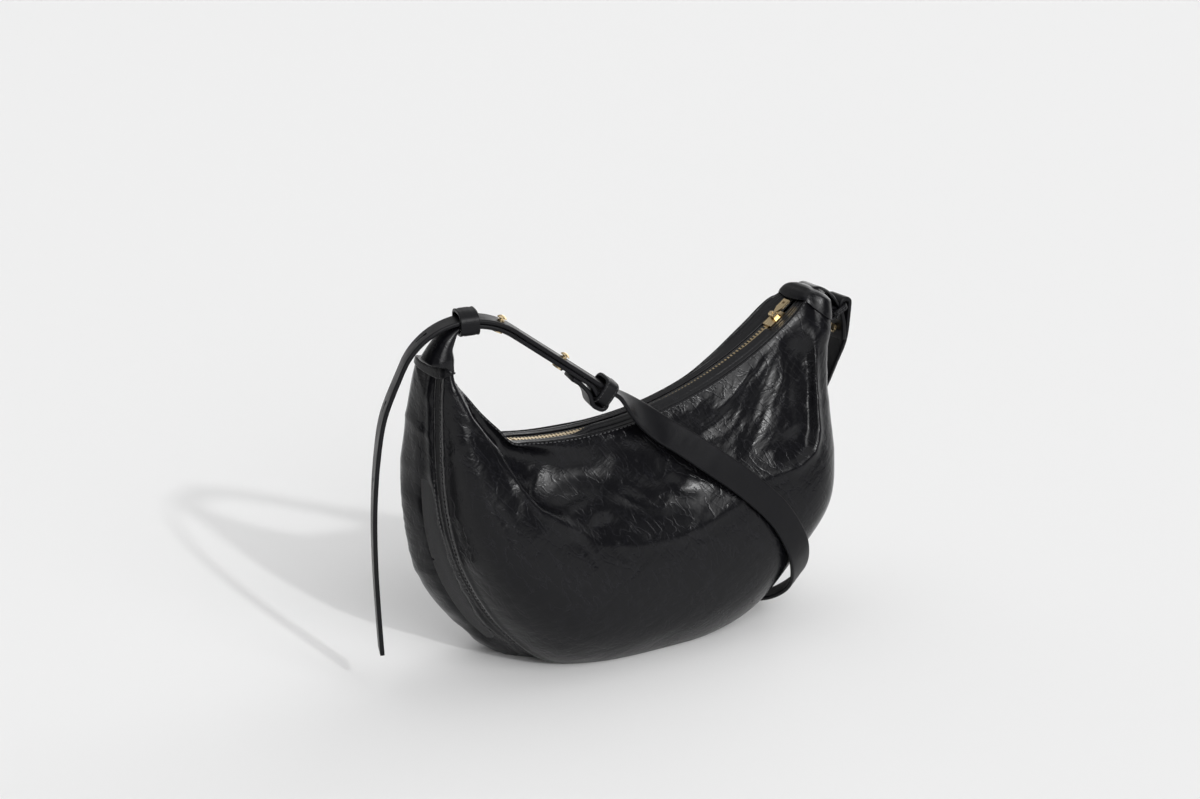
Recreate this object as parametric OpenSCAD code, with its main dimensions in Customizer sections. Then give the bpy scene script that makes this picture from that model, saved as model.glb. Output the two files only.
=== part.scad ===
// Half moon shoulder bag of soft leather, closed by a metal zip along its curved top.
// Millimetres, +Z up, X along the bag, the front towards -Y, origin under the bag on the floor.

/* [Body] */
// Half the width of the bag across its outer seam
seam_half_w = 149.5; // [130:0.5:170]
// Height of the two horns, where the end caps begin
horn_h = 204; // [180:1:225]
// How far the front panel swells in front of the seam
front_depth = 47; // [38:0.5:56]
// How far the back panel swells behind the seam
back_depth = 60; // [46:0.5:68]
// Distance from the zip's middle to the front panel's top edge
mouth_front_y = 15; // [14:0.5:18]
// Distance from the zip's middle to the back panel's top edge
mouth_back_y = 18; // [14:0.5:20]
// Thickness of the leather panels
leather_t = 1.6; // [1.2:0.1:2]
// Thickness of the fabric lining
lining_t = 0.8; // [0.4:0.1:1.2]
// Thickness of the tape that backs the outer seam
seam_tape_t = 0.5; // [0.3:0.1:0.8]

/* [Zip] */
// Radius of the arc that the zip follows
zip_arc_r = 280.4; // [270:0.2:300]
// Place of the arc's lowest point along the bag, left of the middle
zip_low_x = 53.5; // [45:0.5:62]
// Height of the zip at its lowest point
zip_low_h = 150.7; // [142:0.1:158]
// Angle that the zip takes up left of its lowest point
zip_left_angle = 9; // [7:0.1:9.4]
// Angle that the teeth take up right of the lowest point
zip_right_angle = 34.4; // [30:0.1:34.6]
// Depth of the teeth below the panels' top edges
zip_recess = 3; // [2.5:0.1:4]
// Distance from one tooth to the next on one tape
tooth_pitch = 2.6; // [2.4:0.1:3]
// Thickness of one tooth along the zip
tooth_t = 1.1; // [0.9:0.05:1.15]
// Height of one tooth
tooth_h = 2.2; // [2:0.1:2.4]
// Reach of one tooth from its outer end to its tip
tooth_reach = 4.2; // [3.8:0.1:4.4]
// Thickness of the zip's tape
tape_t = 0.8; // [0.6:0.1:1]
// Width of one tape beside its teeth
tape_w = 7; // [6:0.1:7.2]

/* [Slider and pull] */
// Length of the slider along the zip
slider_l = 11; // [9:0.5:13]
// Width of the slider
slider_w = 9.2; // [8.8:0.1:10]
// Thickness of each of the slider's two plates
plate_t = 1.1; // [0.9:0.1:1.3]
// Diameter of the bar that carries the pull
bar_d = 1.7; // [1.4:0.1:2]
// Length of the pull from the bar to its tip
pull_l = 14; // [11:0.5:16]
// Width of the pull
pull_w = 6; // [5:0.5:7]
// Thickness of the pull
pull_t = 1.4; // [1:0.1:1.8]

/* [Straps] */
// Width of the straps
strap_w = 18; // [16:0.5:22]
// Thickness of the straps
strap_t = 2.8; // [2.4:0.1:3.2]
// Radius of the arch over the left horn, to the middle of the long strap
arch_r = 47.2; // [43:0.2:51]
// Height from the horns to the top of the arch
arch_rise = 34; // [32:0.5:38]
// Length of the doubled straight stretch after the arch
double_l = 72; // [66:1:80]

/* [Rings] */
// Thickness of the leather rings
ring_t = 2; // [1.6:0.1:2.4]
// Breadth of the keeper ring along the strap
keeper_w = 12; // [9:0.5:14]
// Height of the opening in the keeper ring
keeper_gap = 12; // [10.5:0.5:14]
// Breadth of the two joining rings
link_w = 6; // [5:0.5:8]
// Distance between the two legs of the ring at the strap's middle
mid_link_reach = 16; // [14.5:0.5:18]
// Width of the leather ring at the right horn, along its leg's section
end_link_w = 4; // [3:0.5:5]
// Distance between the two legs of the ring at the right horn
end_link_reach = 11.2; // [11:0.1:13]

/* [Studs] */
// Diameter of the studs' ball heads
stud_d = 6.4; // [5:0.2:7]
// Height of a stud's head over the strap
stud_h = 3.6; // [3:0.2:5]
// Diameter of a stud's neck and post
stud_neck_d = 3; // [2.4:0.1:3.4]
// Diameter of the screw heads on the other face
screw_d = 7.4; // [6:0.2:8]
// Height of the screw heads
screw_h = 1; // [0.8:0.1:1.4]

/* [Hidden] */

// Clearance between soft pieces that lie against each other
soft_gap = 0.3;
// Clearance between the metal pieces of the zip
metal_gap = 0.1;
// Running clearance round the slider
run_gap = 0.3;
// Overrun of a cut past the face that it starts from
over = 1;

// Steps along the bag and down a panel
along_n = 40;
down_n = 12;
// Facets of round pieces
$fn = 32;

leather_black = [0.05, 0.05, 0.055];
fabric_grey = [0.28, 0.28, 0.3];
brass = [0.83, 0.66, 0.33];

// Outer seam from the left horn's end down to the middle: shares of seam_half_w and horn_h.
// The lowest stations lie under the floor, where the bag is pressed flat.
seam_shares = [[-0.983, 1.034], [-0.996, 0.951], [-1, 0.843], [-0.998, 0.716], [-0.98, 0.569],
  [-0.936, 0.431], [-0.856, 0.294], [-0.722, 0.152], [-0.522, 0.02], [-0.281, -0.034], [0, -0.044]];
last = 2 * (len(seam_shares) - 1);
half = last / 2;
// Place along the bag of the panels' top edges at each station: shares of seam_half_w
rim_x_shares = [-0.951, -0.94, -0.893, -0.835, -0.763, -0.696, -0.602, -0.482, -0.334, -0.181, 0,
  0.167, 0.321, 0.455, 0.562, 0.649, 0.716, 0.763, 0.796, 0.823, 0.846];
// Swell of each panel at each station: shares of front_depth and back_depth
front_shares = [0.2, 0.27, 0.39, 0.52, 0.65, 0.78, 0.88, 0.95, 0.99, 1, 1,
  1, 0.99, 0.96, 0.9, 0.8, 0.69, 0.58, 0.47, 0.38, 0.32];
back_shares = [0.5, 0.56, 0.64, 0.74, 0.82, 0.88, 0.93, 0.96, 0.99, 1, 1,
  1, 0.98, 0.93, 0.86, 0.77, 0.67, 0.56, 0.45, 0.36, 0.3];
// How far the back panel bulges out past the seam at each station: shares of back_depth
bulge_shares = [0.03, 0.07, 0.1, 0.12, 0.17, 0.22, 0.25, 0.25, 0.2, 0.15, 0.12,
  0.12, 0.12, 0.12, 0.12, 0.1, 0.07, 0.04, 0.02, 0, 0];
// How far the back panel's top edge lies under the front one's at each station: shares of back_depth
drop_shares = [0, 0, 0, 0, 0.01, 0.02, 0.03, 0.03, 0.03, 0.045, 0.06,
  0.07, 0.07, 0.03, -0.01, -0.03, -0.04, -0.03, 0, 0, 0];
// Width of the mouth at each station: shares of its full width
mouth_shares = [0.38, 0.48, 0.64, 0.78, 0.9, 1, 1, 1, 1, 1, 1,
  1, 1, 1, 1, 1, 1, 0.96, 0.88, 0.78, 0.7];
// A panel's section from its top edge to the seam: shares of the rib and of the swell.
// The swell at the top edge comes from the mouth.
front_rib_shares = [[0, 0], [0.08, 0.54], [0.2, 0.74], [0.36, 0.9], [0.52, 0.99], [0.68, 1],
  [0.81, 0.88], [0.91, 0.62], [0.975, 0.3], [1, 0]];
back_rib_shares = [[0, 0], [0.08, 0.5], [0.2, 0.7], [0.36, 0.87], [0.54, 0.97], [0.72, 1],
  [0.87, 0.95], [0.96, 0.78], [1, 0.45], [1, 0]];
// The front panel's flank towards the right horn
flank_rib_shares = [[0, 0], [0.07, 0.7], [0.2, 0.78], [0.34, 0.94], [0.49, 1], [0.63, 0.93],
  [0.77, 0.7], [0.88, 0.42], [0.96, 0.17], [1, 0]];
// How the bulge past the seam grows down a rib: shares of the whole bulge
bulge_rib_shares = [0, 0, 0.02, 0.08, 0.2, 0.42, 0.72, 1, 0.75, 0];
horn_rib_shares = [[0, 0], [0.07, 0.82], [0.17, 0.93], [0.3, 0.99], [0.45, 1], [0.6, 0.98],
  [0.75, 0.9], [0.88, 0.72], [0.97, 0.42], [1, 0]];
rows = len(front_rib_shares) - 1;
// How the front panel has slumped under its top edge at each station: the depth as shares of
// front_depth, and how far down the rib the slump's lower crest lies
slump_shares = [0, 0, 0, 0.02, 0.06, 0.13, 0.18, 0.21, 0.21, 0.19, 0.18,
  0.16, 0.13, 0.11, 0.1, 0.07, 0.04, 0.02, 0, 0, 0];
crest_shares = [0.5, 0.45, 0.4, 0.32, 0.28, 0.29, 0.32, 0.35, 0.37, 0.38, 0.39,
  0.38, 0.37, 0.41, 0.45, 0.42, 0.34, 0.27, 0.23, 0.2, 0.2];
// Stations over which a horn's round section turns into the body's, and where the flank begins
horn_blend = 4;
flank_from = 14.2;

// The zip's arc
arc_centre = [-zip_low_x, zip_low_h + zip_arc_r];
rim_r = zip_arc_r - zip_recess;
ramp_x = rim_x_shares[5] * seam_half_w;

function mix(a, b, k) = a + (b - a) * k;
function smooth(k) = k * k * (3 - 2 * k);
function clamp(a, low, high) = max(low, min(high, a));
function unit(v) = v / norm(v);

// A curve through a table's rows, and its slope
function row(table, i) = table[clamp(i, 0, len(table) - 1)];
function curve(a, b, c, d, k) =
  0.5 * (2 * b + (c - a) * k + (2 * a - 5 * b + 4 * c - d) * k * k + (3 * b - a - 3 * c + d) * k * k * k);
function slope(a, b, c, d, k) =
  0.5 * ((c - a) + 2 * (2 * a - 5 * b + 4 * c - d) * k + 3 * (3 * b - a - 3 * c + d) * k * k);
function through(table, u) =
  let (i = clamp(floor(u), 0, len(table) - 2))
  curve(row(table, i - 1), row(table, i), row(table, i + 1), row(table, i + 2), u - i);

// Stations of the seam and of the top edge, and the rib between them
arc_z = function (x) arc_centre[1] - sqrt(rim_r * rim_r - (x - arc_centre[0]) * (x - arc_centre[0]));
seam_table = [for (i = [0:last]) let (s = seam_shares[i <= half ? i : last - i])
  [(i <= half ? 1 : -1) * s[0] * seam_half_w, s[1] * horn_h]];
rim_x = rim_x_shares * seam_half_w;
ramp_shares = [1.1, 0.93, 0.72, 0.47, 0.22, 0];
rim_table = [for (i = [0:last])
  [rim_x[i], i < 5 ? mix(arc_z(ramp_x), horn_h, ramp_shares[i]) : arc_z(rim_x[i])]];
function seam_at(u) = through(seam_table, u);
function rim_at(u) = through(rim_table, u);
function edge_at(side, u) = rim_at(u) - [0, side < 0 ? 0 : back_depth * through(drop_shares, u)];
function seam_out(u) = let (t = unit(seam_at(u + 0.1) - seam_at(u - 0.1))) [t[1], -t[0]];
function depth_at(side, u) = side < 0 ? front_depth * through(front_shares, u)
  : back_depth * through(back_shares, u);
function mouth_at(side, u) = (side < 0 ? mouth_front_y : mouth_back_y) * through(mouth_shares, u);

// Section of one panel at station u, as [distance down the rib, distance from the seam's plane]
function rib_table(side, u) =
  let (k = smooth(clamp(min(u, last - u) / horn_blend, 0, 1)),
    f = side < 0 ? smooth(clamp((u - flank_from) / horn_blend, 0, 1)) : 0,
    body = side < 0 ? front_rib_shares : back_rib_shares,
    l = norm(seam_at(u) - edge_at(side, u)),
    b = depth_at(side, u),
    top = mouth_at(side, u))
  [for (j = [0:rows])
    let (s = mix(mix(horn_rib_shares[j], body[j], k), flank_rib_shares[j], f))
    [s[0] * l, j == 0 ? top : s[1] * b]];
function bulge_row(j) = j > rows ? bulge_rib_shares[rows - 1] : row(bulge_rib_shares, j);
function rib_row(t, j) = j < 0 ? 2 * t[0] - t[1] : j > rows ? [t[rows - 1][0], -t[rows - 1][1]] : t[j];

// Point of a panel at station u and share v of the rib, moved inwards by d
function shell_point(side, u, v, d) =
  let (t = rib_table(side, u),
    j = clamp(floor(v * rows), 0, rows - 1),
    k = v * rows - j,
    a = rib_row(t, j - 1),
    b = t[j],
    c = t[j + 1],
    e = rib_row(t, j + 2),
    p = curve(a, b, c, e, k),
    rim = edge_at(side, u),
    dir = unit(seam_at(u) - rim),
    bulge = side < 0 ? 0 : back_depth * through(bulge_shares, u),
    r = [for (n = [-1:2]) bulge * bulge_row(j + n)],
    deep = side < 0 ? front_depth * through(slump_shares, u) : 0,
    crest = through(crest_shares, u),
    w = min(v / crest, 1),
    fall = deep * pow(sin(180 * w), 2),
    steep = deep * PI / (crest * rows) * sin(360 * w),
    g = unit(slope(a, b, c, e, k) + [slope(r[0], r[1], r[2], r[3], k) * (seam_out(u) * dir), -steep]),
    q = [p[0] + g[1] * d, p[1] - fall - g[0] * d],
    place = rim + dir * q[0] + seam_out(u) * curve(r[0], r[1], r[2], r[3], k))
  [place[0], side * (q[1] + soft_gap / 2), max(place[1], d)];

// A closed solid between two grids of points, n steps by m steps
// From column `crease` on, the facets' diagonals run the other way
module sheet_solid(outer, inner, n, m, turned, crease = along_n) {
  off = (n + 1) * (m + 1);
  function swapped(q, j) = j < crease ? q : [q[1], q[2], q[3], q[0]];
  function at(i, j) = i * (m + 1) + j;
  quads = concat(
    [for (i = [0:n - 1], j = [0:m - 1])
      swapped([at(i, j), at(i + 1, j), at(i + 1, j + 1), at(i, j + 1)], j)],
    [for (i = [0:n - 1], j = [0:m - 1])
      swapped([off + at(i, j), off + at(i, j + 1), off + at(i + 1, j + 1), off + at(i + 1, j)], j)],
    [for (i = [0:n - 1]) [at(i + 1, 0), at(i, 0), off + at(i, 0), off + at(i + 1, 0)]],
    [for (i = [0:n - 1]) [at(i, m), at(i + 1, m), off + at(i + 1, m), off + at(i, m)]],
    [for (j = [0:m - 1]) [at(0, j), at(0, j + 1), off + at(0, j + 1), off + at(0, j)]],
    [for (j = [0:m - 1]) [at(n, j + 1), at(n, j), off + at(n, j), off + at(n, j + 1)]]);
  polyhedron(concat(outer, inner), [for (q = quads, h = [0, 1])
    let (t = h == 0 ? [q[0], q[1], q[2]] : [q[0], q[2], q[3]]) turned ? [t[2], t[1], t[0]] : t]);
}

// Part of a panel's shell between two depths under the outer face: steps i0 to i1 along the bag
// and j0 to j1 down the rib, so that all layers have their facets in the same places
module shell(side, i0, i1, j0, j1, d_out, d_in) {
  function grid(d) = [for (i = [i0:i1], j = [j0:j1]) shell_point(side, last * i / along_n, j / down_n, d)];
  sheet_solid(grid(d_out), grid(d_in), i1 - i0, j1 - j0, side > 0);
}

// Depths of the layers under the leather's outer face
tape_depth = leather_t + soft_gap;
lining_depth = tape_depth + seam_tape_t + soft_gap;
pocket_depth = lining_depth + lining_t + soft_gap;
// Steps between which the layers inside lie
lining_steps = [round(0.15 * along_n), round(0.88 * along_n)];
pocket_steps = [round(0.38 * along_n), round(0.62 * along_n)];
pocket_down_steps = [round(0.28 * down_n), round(0.66 * down_n)];

module front_panel() {
  color(leather_black)
    shell(-1, 0, along_n, 0, down_n, 0, leather_t);
}

module back_panel() {
  color(leather_black)
    shell(1, 0, along_n, 0, down_n, 0, leather_t);
}

module lining(side) {
  color(fabric_grey)
    shell(side, lining_steps[0], lining_steps[1], 1, down_n, lining_depth, lining_depth + lining_t);
}

module lining_front() {
  lining(-1);
}

module lining_back() {
  lining(1);
}

// A patch of lining cloth on the back lining, open at its top
module inner_pocket() {
  color(fabric_grey)
    shell(1, pocket_steps[0], pocket_steps[1], pocket_down_steps[0], pocket_down_steps[1], pocket_depth,
      pocket_depth + lining_t);
}

// Tape across the inside of the outer seam, on both panels
module seam_tape() {
  function across(i, d) = let (u = last * i / along_n) [shell_point(-1, u, 1 - 1 / down_n, d),
    shell_point(-1, u, 1, d), shell_point(1, u, 1, d), shell_point(1, u, 1 - 1 / down_n, d)];
  function grid(d) = [for (i = [lining_steps[0]:lining_steps[1]]) each across(i, d)];
  color(fabric_grey)
    sheet_solid(grid(tape_depth), grid(tape_depth + seam_tape_t), lining_steps[1] - lining_steps[0], 3,
      false, 2);
}

// Strips beside the zip. Past the zip's left end they meet in the middle.
strip_t = 1.1;
strip_drop = 0.5;
strip_fall = 0.5;
strip_open_y = slider_w / 2 + 4 * run_gap;
strip_close_shares = [5.05, 5.6];
function strip_y(u) =
  mix(soft_gap / 2, strip_open_y, smooth(clamp((u - strip_close_shares[0])
    / (strip_close_shares[1] - strip_close_shares[0]), 0, 1)));
module zip_strip(side) {
  function at(rim, u, y, e) = let (dir = unit(seam_at(u) - rim))
    [rim[0] + dir[0] * e, side * y, rim[1] + dir[1] * e];
  function outer_y(u) = mouth_at(side, u) - leather_t - soft_gap;
  function line(u, e) = [at(edge_at(side, u), u, outer_y(u), strip_drop + e),
    at(rim_at(u), u, mix(outer_y(u), strip_y(u), 0.6), strip_drop + strip_fall + e),
    at(rim_at(u), u, strip_y(u), strip_drop + strip_fall + e)];
  color(leather_black)
    sheet_solid([for (i = [0:along_n]) each line(last * i / along_n, 0)],
      [for (i = [0:along_n]) each line(last * i / along_n, strip_t)], along_n, 2, side < 0);
}

module zip_strip_front() {
  zip_strip(-1);
}

module zip_strip_back() {
  zip_strip(1);
}

// Angles along the zip, in degrees from its lowest point, positive to the right
mm_angle = 180 / (PI * zip_arc_r);
slider_rest = zip_right_angle + 0.1 * slider_l * mm_angle;
tape_end = 2 * slider_l * mm_angle;

// A sector round the zip's arc from angle a0 to a1. The section is drawn with the height over
// the zip's middle along -Y of the drawing and the distance behind the zip along X.
module round_zip(a0, a1) {
  translate([arc_centre[0], 0, arc_centre[1]])
    rotate([90, 0, 0])
      rotate([0, 0, a0 - 90])
        rotate_extrude(angle = a1 - a0, $fn = 360)
          translate([zip_arc_r, 0])
            rotate([0, 0, 90])
              mirror([1, 0])
                children();
}

module zip_tape(side) {
  color(fabric_grey)
    round_zip(-zip_left_angle - tape_end / 2, zip_right_angle + tape_end)
      translate([side < 0 ? -tape_in_y - tape_w : tape_in_y, -tape_t / 2])
        square([tape_w, tape_t]);
}
tooth_out_y = 3.3 / 4.2 * tooth_reach;
tape_in_y = tooth_out_y - 0.36 * tooth_reach + metal_gap;

module zip_tape_front() {
  zip_tape(-1);
}

module zip_tape_back() {
  zip_tape(1);
}

// One tooth clamps the tape's edge with two legs and reaches past the zip's middle
module tooth(side, a) {
  slot_h = tape_t + 2 * metal_gap;
  round_zip(a - tooth_t * mm_angle / 2, a + tooth_t * mm_angle / 2)
    mirror([side < 0 ? 0 : 1, 0])
      difference() {
        translate([-tooth_out_y, -tooth_h / 2])
          square([tooth_reach, tooth_h]);
        translate([-tooth_out_y - over, -slot_h / 2])
          square([over + tooth_out_y - tape_in_y + metal_gap, slot_h]);
      }
}

teeth_n = floor((zip_left_angle + zip_right_angle) / (tooth_pitch * mm_angle));

module zip_teeth(side, shift) {
  color(brass)
    for (i = [0:teeth_n - 1])
      tooth(side, zip_right_angle - (i + shift) * tooth_pitch * mm_angle);
}

module zip_teeth_front() {
  zip_teeth(-1, 0.5);
}

module zip_teeth_back() {
  zip_teeth(1, 1);
}

// Stops clamped on the tapes past both ends of the slider's travel
stop_l = 3;
stop_gap = 0.4;
left_stop_a = -zip_left_angle - (stop_l + stop_gap) * mm_angle;
right_stop_a = slider_rest + (slider_l / 2 + stop_gap) * mm_angle;
module zip_stop(side, a) {
  slot_h = tape_t + 2 * metal_gap;
  round_zip(a, a + stop_l * mm_angle)
    mirror([side < 0 ? 0 : 1, 0])
      difference() {
        translate([-tooth_out_y, -tooth_h / 2])
          square([tooth_out_y - metal_gap, tooth_h]);
        translate([-tooth_out_y - over, -slot_h / 2])
          square([over + tooth_out_y - tape_in_y + metal_gap, slot_h]);
      }
}

module zip_end_stops() {
  color(brass)
    for (side = [-1, 1], a = [left_stop_a, right_stop_a])
      zip_stop(side, a);
}

// The slider: two plates with flanges, joined by the bridge that parts the two rows
flange_t = 1;
channel_h = tooth_h + 2 * run_gap;
slider_h = channel_h + 2 * plate_t;
bridge_w = 2 * (tape_in_y - run_gap);
bridge_l = 3;
ear_t = 1;
ear_gap = 3.2;
eye_r = bar_d / 2 + 1.3;
bar_rise = plate_t + eye_r + run_gap;
pivot_r = zip_arc_r - channel_h / 2 - bar_rise;
bar_angle = slider_rest + 0.2 * slider_l * mm_angle;
pivot = [arc_centre[0] + pivot_r * sin(bar_angle), arc_centre[1] - pivot_r * cos(bar_angle)];

// Places its children at the pull's bar, with X along the zip and Z away from it
module at_pivot() {
  translate([pivot[0], 0, pivot[1]])
    rotate([0, -bar_angle, 0])
      children();
}

module zip_slider() {
  a0 = slider_rest - slider_l / 2 * mm_angle;
  a1 = slider_rest + slider_l / 2 * mm_angle;
  slot_h = tape_t + 2 * run_gap;
  color(brass) {
    round_zip(a0, a1)
      difference() {
        translate([-slider_w / 2, -slider_h / 2])
          square([slider_w, slider_h]);
        translate([-slider_w / 2 + flange_t, -channel_h / 2])
          square([slider_w - 2 * flange_t, channel_h]);
        translate([-slider_w / 2 - over, -slot_h / 2])
          square([slider_w + 2 * over, slot_h]);
      }
    round_zip(a1 - (bridge_l + flange_t) * mm_angle, a1 - flange_t * mm_angle)
      translate([-bridge_w / 2, -slider_h / 2 + plate_t / 2])
        square([bridge_w, slider_h - plate_t]);
    at_pivot() {
      for (s = [-1, 1])
        translate([0, s * (ear_gap + ear_t) / 2, 0]) {
          rotate([90, 0, 0])
            cylinder(r = bar_d / 2 + ear_t, h = ear_t, center = true);
          translate([-bar_d / 2 - ear_t, -ear_t / 2, -bar_rise + plate_t / 2])
            cube([bar_d + 2 * ear_t, ear_t, bar_rise - plate_t / 2]);
        }
      rotate([90, 0, 0])
        cylinder(d = bar_d, h = ear_gap + 2 * ear_t, center = true);
    }
  }
}

// The pull lies towards the right horn, its eye round the slider's bar
pull_eye_gap = 0.15;
module zip_pull() {
  color(brass)
    at_pivot()
      difference() {
        union() {
          rotate([90, 0, 0])
            cylinder(r = eye_r, h = ear_gap - 2 * run_gap, center = true);
          translate([0, -ear_gap / 2 + run_gap, -pull_t / 2])
            cube([pull_l / 2, ear_gap - 2 * run_gap, pull_t]);
          translate([eye_r + 3 * run_gap, 0, -pull_t / 2])
            linear_extrude(pull_t)
              polygon([[0, -pull_w / 4], [0, pull_w / 4], [pull_l / 4, pull_w / 2],
                [pull_l - pull_w / 2, pull_w / 2], [pull_l - eye_r - 3 * run_gap, pull_w / 5],
                [pull_l - eye_r - 3 * run_gap, -pull_w / 5], [pull_l - pull_w / 2, -pull_w / 2],
                [pull_l / 4, -pull_w / 2]]);
        }
        rotate([90, 0, 0])
          cylinder(r = bar_d / 2 + pull_eye_gap, h = ear_gap + over, center = true);
        translate([pull_l - pull_w / 2, 0, -pull_t])
          cylinder(d = pull_w / 3, h = 2 * pull_t);
      }
}

// End caps: rings of points from the horn's section to the strap or tab that the cap turns into
ring_m = 8;
ring_top = 3;
ring_n = 2 * ring_m + ring_top + 1;
function horn_corner(side, u, d) = let (rim = edge_at(side, u), out = unit(rim - seam_at(u)) * d)
  [rim[0] + out[0], side * (mouth_at(side, u) + d), rim[1] + out[1]];
function horn_ring(u, d) =
  concat(
    [horn_corner(-1, u, d)],
    [for (j = [1:ring_m]) shell_point(-1, u, j / ring_m, -d)],
    [for (j = [1:ring_m - 1]) shell_point(1, u, 1 - j / ring_m, -d)],
    [for (j = [0:ring_top]) mix(horn_corner(1, u, d), horn_corner(-1, u, d), j / (ring_top + 1))]);
// Angle of each point round an oval section that lines up with the horn's section
rim_turn = 145;
ring_turn = concat([for (j = [0:ring_m]) -rim_turn * (1 - j / ring_m)],
  [for (j = [1:ring_m]) rim_turn * j / ring_m],
  [for (j = [1:ring_top]) rim_turn + (360 - 2 * rim_turn) * j / (ring_top + 1)]);
// Oval ring: centre, angle of its short axis from +X in the XZ plane, half thickness, half width.
// The corners are squarer than an ellipse's.
function squared(c) = sign(c) * pow(abs(c), 0.7);
function oval_ring(centre, turn, a, b, yaw = 0) =
  [for (p = ring_turn) centre + squared(cos(p)) * a * [cos(turn) * cos(yaw), cos(turn) * sin(yaw), sin(turn)]
    + squared(sin(p)) * b * [-sin(yaw), cos(yaw), 0]];

function middle(ring) = [for (p = ring) 1] * ring / len(ring);
module ring_solid(rings, turned) {
  n = len(rings) - 1;
  m = len(rings[0]);
  function at(i, j) = i * m + j % m;
  start = (n + 1) * m;
  faces = concat(
    [for (i = [0:n - 1], j = [0:m - 1], h = [0, 1])
      h == 0 ? [at(i, j), at(i + 1, j), at(i + 1, j + 1)] : [at(i, j), at(i + 1, j + 1), at(i, j + 1)]],
    [for (j = [0:m - 1]) [start, at(0, j), at(0, j + 1)]],
    [for (j = [0:m - 1]) [start + 1, at(n, j + 1), at(n, j)]]);
  polyhedron(concat([for (r = rings) each r], [middle(rings[0]), middle(rings[n])]),
    [for (f = faces) turned ? [f[2], f[1], f[0]] : f]);
}

cap_t = 1.6;
cap_gap = 0.7;
cap_depth = cap_gap + cap_t;
left_mouth = 0.8;
right_mouth = last - 0.6;

// The arch of the long strap over the left horn, and the short strap's layer under it. Both lie
// in an upright plane that is turned about the horn, so that the strap leads to the front.
arch_yaw = -16;
arch_axis_x = -0.903 * seam_half_w;
arch_centre = [-0.845 * seam_half_w, horn_h + arch_rise - arch_r];
layer = strap_t + soft_gap;
arch_low_r = arch_r - layer;
arch_end = 35.7;
neck_turn = -11;
function in_arch(p) = let (x = p[0] - arch_axis_x)
  [arch_axis_x + x * cos(arch_yaw) - p[1] * sin(arch_yaw), x * sin(arch_yaw) + p[1] * cos(arch_yaw), p[2]];
function flat_arch(r, a) = [arch_centre[0] + r * sin(a), 0, arch_centre[1] + r * cos(a)];
function on_arch(r, a) = in_arch(flat_arch(r, a));
module at_arch() {
  translate([arch_axis_x, 0, 0])
    rotate([0, 0, arch_yaw])
      translate([-arch_axis_x, 0, 0])
        children();
}

module left_cap() {
  neck = on_arch(arch_low_r, neck_turn);
  shoulder = rim_at(0);
  // Steps of the neck between the horn's end and the short strap
  outer = [
    horn_ring(left_mouth, cap_depth),
    horn_ring(0, cap_depth),
    oval_ring([shoulder[0] - 0.062 * seam_half_w, 0.03 * seam_half_w, mix(horn_h, neck[2], 0.5)], 187,
      2.4 * strap_t, 0.76 * strap_w, 0.4 * arch_yaw),
    oval_ring([neck[0] - 0.034 * seam_half_w, 0.015 * seam_half_w, mix(horn_h, neck[2], 0.75)], 170,
      1.5 * strap_t, 0.6 * strap_w, 0.8 * arch_yaw),
    oval_ring([neck[0] - 0.02 * seam_half_w, neck[1], mix(horn_h, neck[2], 0.93)], 137,
      0.8 * strap_t, 0.5 * strap_w, arch_yaw),
    oval_ring(neck, 90 - neck_turn, strap_t / 2, strap_w / 2, arch_yaw)];
  color(leather_black)
    difference() {
      ring_solid(outer, true);
      ring_solid([horn_ring(2 * left_mouth, cap_gap), horn_ring(left_mouth, cap_gap),
        horn_ring(-0.05, cap_gap)], true);
    }
}

// The right cap's tab folds round one leg of the end ring
tab_y = 0.04 * seam_half_w;
tab_t = 2.4;
tab_w = strap_w - 2;
leg_gap = 0.3;
end_bar_r = norm([ring_t, end_link_w]) / 2;
tab_r = end_bar_r + leg_gap;
end_leg = [1.025 * seam_half_w, tab_y, 0.978 * horn_h];
end_turn = 26;
strap_leg = end_leg + end_link_reach * [cos(end_turn), 0, sin(end_turn)];

module right_cap() {
  shoulder = rim_at(last);
  tip = end_leg + [-0.5, 0, 0.9] * (tab_r + tab_t / 2);
  outer = [
    horn_ring(right_mouth, cap_depth),
    horn_ring(last, cap_depth),
    oval_ring([mix(shoulder[0], tip[0], 0.6), tab_y / 2, mix(shoulder[1], tip[2], 0.35)], 130,
      2.2 * tab_t, 0.62 * strap_w),
    oval_ring([mix(shoulder[0], tip[0], 0.85), tab_y, mix(shoulder[1], tip[2], 0.7)], 120,
      tab_t, tab_w / 2)];
  color(leather_black)
    union() {
      difference() {
        ring_solid(outer, false);
        ring_solid([horn_ring(last - 1.2, cap_gap), horn_ring(last, cap_gap),
          horn_ring(last + 0.05, cap_gap)], false);
      }
      translate([end_leg[0], end_leg[1], end_leg[2]])
        rotate([90, 0, 0])
          difference() {
            cylinder(r = tab_r + tab_t, h = tab_w, center = true);
            cylinder(r = tab_r, h = tab_w + over, center = true);
          }
    }
}

// Flat strap swept along points, each with the direction of the strap's width
function route_t(p, i) = unit(p[min(i + 1, len(p) - 1)] - p[max(i - 1, 0)]);
function square_to(v, t) = unit(v - (v * t) * t);
module strap(p, w) {
  n = len(p) - 1;
  t = [for (i = [0:n]) route_t(p, i)];
  a = [for (i = [0:n]) square_to(w[i], t[i])];
  b = [for (i = [0:n]) cross(t[i], a[i])];
  ring_solid([for (i = [0:n]) [for (c = [[-1, -1], [1, -1], [1, 1], [-1, 1]])
    p[i] + c[0] * a[i] * strap_w / 2 + c[1] * b[i] * strap_t / 2]], false);
}

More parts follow.
